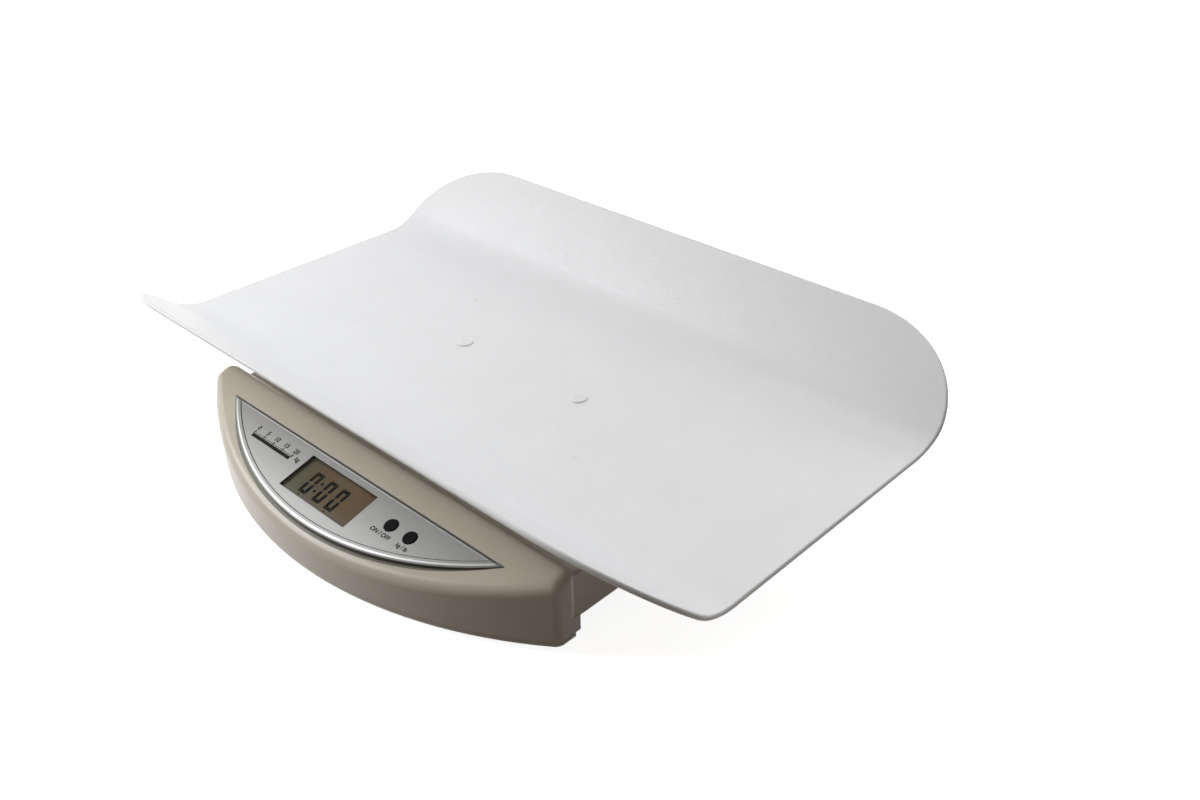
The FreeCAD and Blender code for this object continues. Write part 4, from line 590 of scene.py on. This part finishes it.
# %% [markdown]
# ## Gate marks on the tray
#
# Molten plastic enters the mould at small gates, and where they were trimmed the floor of the
# tray keeps two low round marks: a rim about 4 mm across with a shallow dimple in it. Each is a
# surface of revolution: a profile of radius and height, turned about an upright axis.

# %% Gate marks
TRAY_FLOOR, TRAY_MIDDLE = 62.2, 14.4         # height of the tray's floor, and its middle in y
GATE_X, GATE_Y = 109.6, 54.1                 # from the tray's middle, one mark to each side
GATE_PROFILE = np.array([(0.0, 0.06), (0.9, 0.07), (1.25, 0.2), (1.6, 0.24), (1.95, 0.14),
                         (2.1, 0.0), (2.1, -0.06), (0.0, -0.06)])


def turned(profile, x, y, floor, count=40):
    """A closed surface of revolution: each inner point of the profile makes a ring, its radius
    turned round the axis, and the first and the last point are the poles."""
    turn = np.linspace(0.0, 2 * math.pi, count, endpoint=False)
    radius, height = profile[1:-1].T
    rings = np.stack([x + radius[:, None] * np.cos(turn), y + radius[:, None] * np.sin(turn),
                      np.repeat(floor + height[:, None], count, 1)], -1).reshape(-1, 3)
    poles = [(x, y, floor + profile[0, 1]), (x, y, floor + profile[-1, 1])]
    spot = np.arange(len(rings)).reshape(-1, count)
    after = np.roll(spot, -1, axis=1)
    pole = np.full(count, len(rings))
    sides = np.stack([spot[:-1], spot[1:], after[1:], after[:-1]], -1).reshape(-1, 4)
    caps = np.stack([np.append(pole, pole + 1), np.append(spot[0], after[-1]),
                     np.append(after[0], spot[-1])], -1)
    return np.concatenate([rings, poles]) * MM, sides.tolist() + caps.tolist()


gate_points, gate_faces = [], []
for side in (1, -1):
    points, faces = turned(GATE_PROFILE, side * GATE_X, TRAY_MIDDLE - side * GATE_Y, TRAY_FLOOR)
    gate_faces += [[i + len(gate_points) for i in face] for face in faces]
    gate_points += points.tolist()
new_piece("gate_marks", np.array(gate_points), gate_faces, "polystyrene_smooth",
          "weighing_platform")
print("gate marks: points", len(gate_points), "faces", len(gate_faces))

# %% [markdown]
# ## The numerals of the display
#
# A liquid crystal numeral has seven bars with mitred ends. The driven bars turn dark, and 0:00
# needs six bars in each of its three numerals and the two dots of the colon. Two small pointers
# stand under the numerals. All of them lie at the face of the glass and stand out from it by a
# fiftieth of a millimetre.

# %% Display numerals
LCD_FACE = 3.4               # depth of the glass's upper face under the panel
NUMERAL_WIDTH, NUMERAL_HEIGHT, BAR, GAP = 8.1, 18.9, 2.65, 0.12
NUMERALS_TOP = 13.8
NUMERAL_MIDDLES = (-20.8, -5.5, 7.8)
COLON_X, COLON_DROPS, COLON_RADIUS = -13.2, (19.8, 26.7), 1.2
POINTER_MIDDLES, POINTER_HALF = (-21.2, 7.0), 1.1
POINTER_TIP, POINTER_FOOT = 33.5, 34.9       # drops


def zero(middle, top, width, height, bar, gap):
    """Outlines of the six outer bars: two level ones and four upright halves."""
    x0, x1, y0, y1 = middle - width / 2, middle + width / 2, top, top + height
    half = top + height / 2
    rise = bar / 2
    upper = [(x0, y0 + gap), (x0 + bar, y0 + bar + gap), (x0 + bar, half - rise - gap),
             (x0 + rise, half - gap), (x0, half - rise - gap)]
    level = [(x0 + gap, y0), (x1 - gap, y0), (x1 - bar - gap, y0 + bar),
             (x0 + bar + gap, y0 + bar)]
    bars = [level, upper, [(2 * middle - x, y) for x, y in upper]]
    return bars + [[(x, y0 + y1 - y) for x, y in outline] for outline in bars]


def dot(x, drop, radius, count=20):
    """Circle of points round (x, drop)."""
    turn = np.linspace(0.0, 2 * math.pi, count, endpoint=False)
    return np.stack([x + radius * np.cos(turn), drop + radius * np.sin(turn)], -1)


segments = [bar for middle in NUMERAL_MIDDLES
            for bar in zero(middle, NUMERALS_TOP, NUMERAL_WIDTH, NUMERAL_HEIGHT, BAR, GAP)]
segments += [dot(COLON_X, drop, COLON_RADIUS) for drop in COLON_DROPS]
segments += [[(x - POINTER_HALF, POINTER_FOOT), (x + POINTER_HALF, POINTER_FOOT),
              (x, POINTER_TIP)] for x in POINTER_MIDDLES]
prisms("lcd_numerals", segments, LCD_FACE, "liquid_crystal_segment", "base")
print("display bars and marks:", len(segments))

# %% [markdown]
# ## The painted shadow line round the printed field
#
# The plate's rim stands a third of a millimetre above its printed field. Along the bow, a fine
# dark line of painted shadow lies at the foot of that step, for the shade there. The bow is one
# arc over a straight chord, so a smaller arc about the same centre runs beside it at an even
# distance. The line is the strip between two such arcs, and it ends where it meets the straight
# rim.

# %% Painted shadow line along the bow
BOW_RIM = 4.2                                # width of the plate's rim along the bow
LINE_STARTS, LINE_WIDTH = 0.1, 0.6           # from the foot of the rim's step


def bow(inset, count=96):
    """Points of the arc that runs this far inside the outline, from the left to the right: the
    centre plus a radius turned from one crossing of the straight rim to the other."""
    radius = BOW_RADIUS - inset
    end = math.acos((REAR_RIM - BOW_CENTRE) / radius)
    turn = np.linspace(-end, end, count)
    return np.stack([radius * np.sin(turn), BOW_CENTRE + radius * np.cos(turn)], -1)


outer_line = bow(BOW_RIM + LINE_STARTS)
inner_line = bow(BOW_RIM + LINE_STARTS + LINE_WIDTH)
# The line is painted shadow, in dark grey.
prisms("bow_shadow_line", [np.concatenate([outer_line, inner_line[::-1]])], BEZEL_RECESS,
       "painted_shadow_dark", "base")
print("the bow's line runs over", round(np.ptp(outer_line[:, 0])), "mm")

# %% [markdown]
# ## Printed lettering
#
# The panel is screen printed in black. Blender's text object makes the glyphs. It becomes a
# mesh first, and then every point moves to its place on the panel, so the object itself stays
# at the origin. The text is fitted to a box on the panel, given by its middle, its upper edge
# and its height.

# %% Lettering helper
BOLD = 0.032                 # thickens the strokes, as a share of the type's size
SAME_POINT = 0.001           # points nearer than this are one, which closes the glyphs' walls


def lettering(name, words, middle, top, height):
    """Flat words with a hair of thickness, laid on the panel's field. The text's own thickness
    runs from -1 to 1 and is brought down to that of the ink."""
    curve = bpy.data.curves.new(name, "FONT")
    curve.body = words
    curve.extrude = 1.0
    curve.offset = BOLD
    curve.resolution_u = 6
    source = bpy.data.objects.new(name + "_text", curve)
    bpy.context.scene.collection.objects.link(source)
    shaped = source.evaluated_get(bpy.context.evaluated_depsgraph_get())
    mesh = bpy.data.meshes.new_from_object(shaped)
    bpy.data.objects.remove(source)
    bpy.data.curves.remove(curve)
    flat = np.empty(len(mesh.vertices) * 3)
    mesh.vertices.foreach_get("co", flat)
    x, up, out = flat.reshape(-1, 3).T
    scale = height / (up.max() - up.min())
    x = (x - (x.max() + x.min()) / 2) * scale + middle
    places = on_panel(x, top + (up.max() - up) * scale, BEZEL_RECESS - INK * out)
    mesh.vertices.foreach_set("co", places.ravel())
    mesh.name = name
    merge = bmesh.new()
    merge.from_mesh(mesh)
    bmesh.ops.remove_doubles(merge, verts=merge.verts, dist=SAME_POINT * MM)
    merge.to_mesh(mesh)
    merge.free()
    mesh.update()
    piece = bpy.data.objects.new(name, mesh)
    bpy.context.scene.collection.objects.link(piece)
    paint(piece, "printed_ink_black")
    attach(piece, "base")


# %% [markdown]
# Each button has its words under it. To the left of the window stands the weighing range: a bar
# with a tick for every kilogram, every fifth tick longer and numbered, and the unit beside it.
# The ticks and the bar are prisms, so they stay sharp.

# %% Button labels and the weight range
lettering("label_on_off", "ON / OFF", middle=58.0, top=24.4, height=3.4)
lettering("label_unit", "kg / lb", middle=79.4, top=24.4, height=4.0)

RANGE_LEFT, RANGE_RIGHT = -97.0, -52.0
RANGE_DROP, RANGE_BAR = 17.2, 2.6            # upper edge and width of the bar
LONG_TICK, SHORT_TICK = (2.8, 0.6), (1.6, 0.4)         # height, and half the width
CAPACITY, NUMBERED = 20, 5                   # kilograms in all, and between two numbers
marks = np.linspace(RANGE_LEFT, RANGE_RIGHT, CAPACITY + 1)
bars = [[(RANGE_LEFT, RANGE_DROP), (RANGE_RIGHT, RANGE_DROP),
         (RANGE_RIGHT, RANGE_DROP + RANGE_BAR), (RANGE_LEFT, RANGE_DROP + RANGE_BAR)]]
for i, x in enumerate(marks):
    rise, wide = SHORT_TICK if i % NUMBERED else LONG_TICK
    bars.append([(x - wide, RANGE_DROP - rise), (x + wide, RANGE_DROP - rise),
                 (x + wide, RANGE_DROP), (x - wide, RANGE_DROP)])
prisms("range_scale", bars, BEZEL_RECESS, "printed_ink_black", "base")
for i in range(0, len(marks), NUMBERED):
    lettering(f"range_number_{i}", str(i), middle=marks[i], top=9.6, height=4.0)
lettering("range_unit", "kg", middle=-45.2, top=14.0, height=4.8)
print("range marks:", len(marks))

# %% [markdown]
# ## Floor, light and camera
#
# The scale stands on a plain pale floor. To the camera, and in reflections, floor and world are
# white, and the floor keeps the soft shadow. To diffuse light they are a dim warm grey, as in a
# studio whose walls are some way off.

# %% Floor and world
FLOOR_HALF, FLOOR_GAP = 6.0, 0.0004          # in metres; the gap keeps it just under the feet
FLOOR_SEEN, FLOOR_GLOW = "#f4f4f4", 0.88     # what the eye sees: a pale floor that also glows
FLOOR_DIM = "#5f4a34"                        # what it throws back at the scale
WORLD_DIM = (0.098, 0.086, 0.073, 1.0)       # the same for the world, as linear light


def white_to_the_eye(tree):
    """Recipe: 1 for camera, glossy and transmission rays, and 0 for the rest."""
    path = add(tree, "ShaderNodeLightPath").outputs
    seen = add(tree, "ShaderNodeMath", operation="MAXIMUM",
               Value=[path["Is Camera Ray"], path["Is Glossy Ray"]])
    return add(tree, "ShaderNodeMath", operation="MAXIMUM",
               Value=[seen, path["Is Transmission Ray"]])


corners = [(x * FLOOR_HALF, y * FLOOR_HALF, -FLOOR_GAP)
           for x, y in ((-1, -1), (1, -1), (1, 1), (-1, 1))]
floor_mesh = bpy.data.meshes.new("floor")
floor_mesh.from_pydata(corners, [], [(0, 1, 2, 3)])
floor = bpy.data.objects.new("floor", floor_mesh)
bpy.context.scene.collection.objects.link(floor)

floor_finish = bpy.data.materials.new("studio_floor_pale")
floor_finish.use_nodes = True
tree = floor_finish.node_tree
tree.nodes.remove(tree.nodes["Principled BSDF"])
lit = add(tree, "ShaderNodeBsdfDiffuse", Color=FLOOR_SEEN)
glow = add(tree, "ShaderNodeEmission", Color="#ffffff", Strength=FLOOR_GLOW)
shown = add(tree, "ShaderNodeAddShader", Shader=[lit, glow])
dim = add(tree, "ShaderNodeBsdfDiffuse", Color=FLOOR_DIM)
either = add(tree, "ShaderNodeMixShader", Fac=white_to_the_eye, Shader=[dim, shown])
feed(tree, tree.nodes["Material Output"].inputs["Surface"], either)
floor_mesh.materials.append(floor_finish)

world = bpy.data.worlds.new("studio")
bpy.context.scene.world = world
world.use_nodes = True
tree = world.node_tree
sky = add(tree, "ShaderNodeMix", data_type="RGBA", Factor=white_to_the_eye, A=WORLD_DIM,
          B="#ffffff")
feed(tree, tree.nodes["Background"].inputs["Color"], sky)
print("the floor is", 2 * FLOOR_HALF, "m wide")

# %% [markdown]
# Three soft panels light the scale, and none of them is strong. The key stands to the left
# front, near enough for its light to fall off along the console, and high enough to reach the
# console's top under the tray's edge. A wide one above the back lights the tray's floor, and one
# low behind it lights the near lip and gives the tray its sheen. The walls that face right stay
# in shade.

# %% Lamps
AIM = Vector((0.0, 0.0, 0.05))               # all lamps face this point, in metres
LAMPS = {                    # place in metres, width and depth in metres, power in watts
    "key_panel": ((-0.97, -0.7, 0.8), (0.7, 0.7), 13.0),
    "top_panel": ((-0.1, 1.1, 1.9), (1.4, 1.2), 15.4),
    "back_panel": ((0.1, 1.5, 0.7), (1.2, 0.6), 8.6),
}
for name, (place, size, power) in LAMPS.items():
    lamp = bpy.data.lights.new(name, "AREA")
    lamp.shape = "RECTANGLE"
    lamp.size, lamp.size_y = size
    lamp.energy = power
    holder = bpy.data.objects.new(name, lamp)
    holder.location = place
    holder.rotation_euler = (AIM - Vector(place)).to_track_quat("-Z", "Y").to_euler()
    bpy.context.scene.collection.objects.link(holder)
print("lamps:", len(LAMPS))

# %% [markdown]
# The camera looks down on the scale from the right front. A camera's matrix has its own right,
# up and back as columns, and these follow from three angles: the turn round Z, the tilt above
# the floor, and a slight roll about the view.

# %% Camera
CAMERA_PLACE = Vector((0.56868, -0.49141, 0.50414))    # in metres
TURN, TILT, ROLL = 0.76635, 0.5539, -0.01525           # in radians
LENS, SENSOR = 35.787, 36.0                            # in millimetres
back = Vector((math.sin(TURN) * math.cos(TILT), -math.cos(TURN) * math.cos(TILT),
               math.sin(TILT)))
right = Vector((math.cos(TURN), math.sin(TURN), 0.0))
up = back.cross(right)
across = math.cos(ROLL) * right + math.sin(ROLL) * up
upward = math.cos(ROLL) * up - math.sin(ROLL) * right
axes = Matrix((across, upward, back)).transposed().to_4x4()
view = bpy.data.cameras.new("camera")
view.lens, view.sensor_width, view.sensor_fit = LENS, SENSOR, "HORIZONTAL"
camera = bpy.data.objects.new("camera", view)
camera.matrix_world = Matrix.Translation(CAMERA_PLACE) @ axes
bpy.context.scene.collection.objects.link(camera)
bpy.context.scene.camera = camera
bpy.context.scene.view_settings.view_transform = "Standard"
print("the camera looks down by", round(math.degrees(TILT), 1), "degrees")
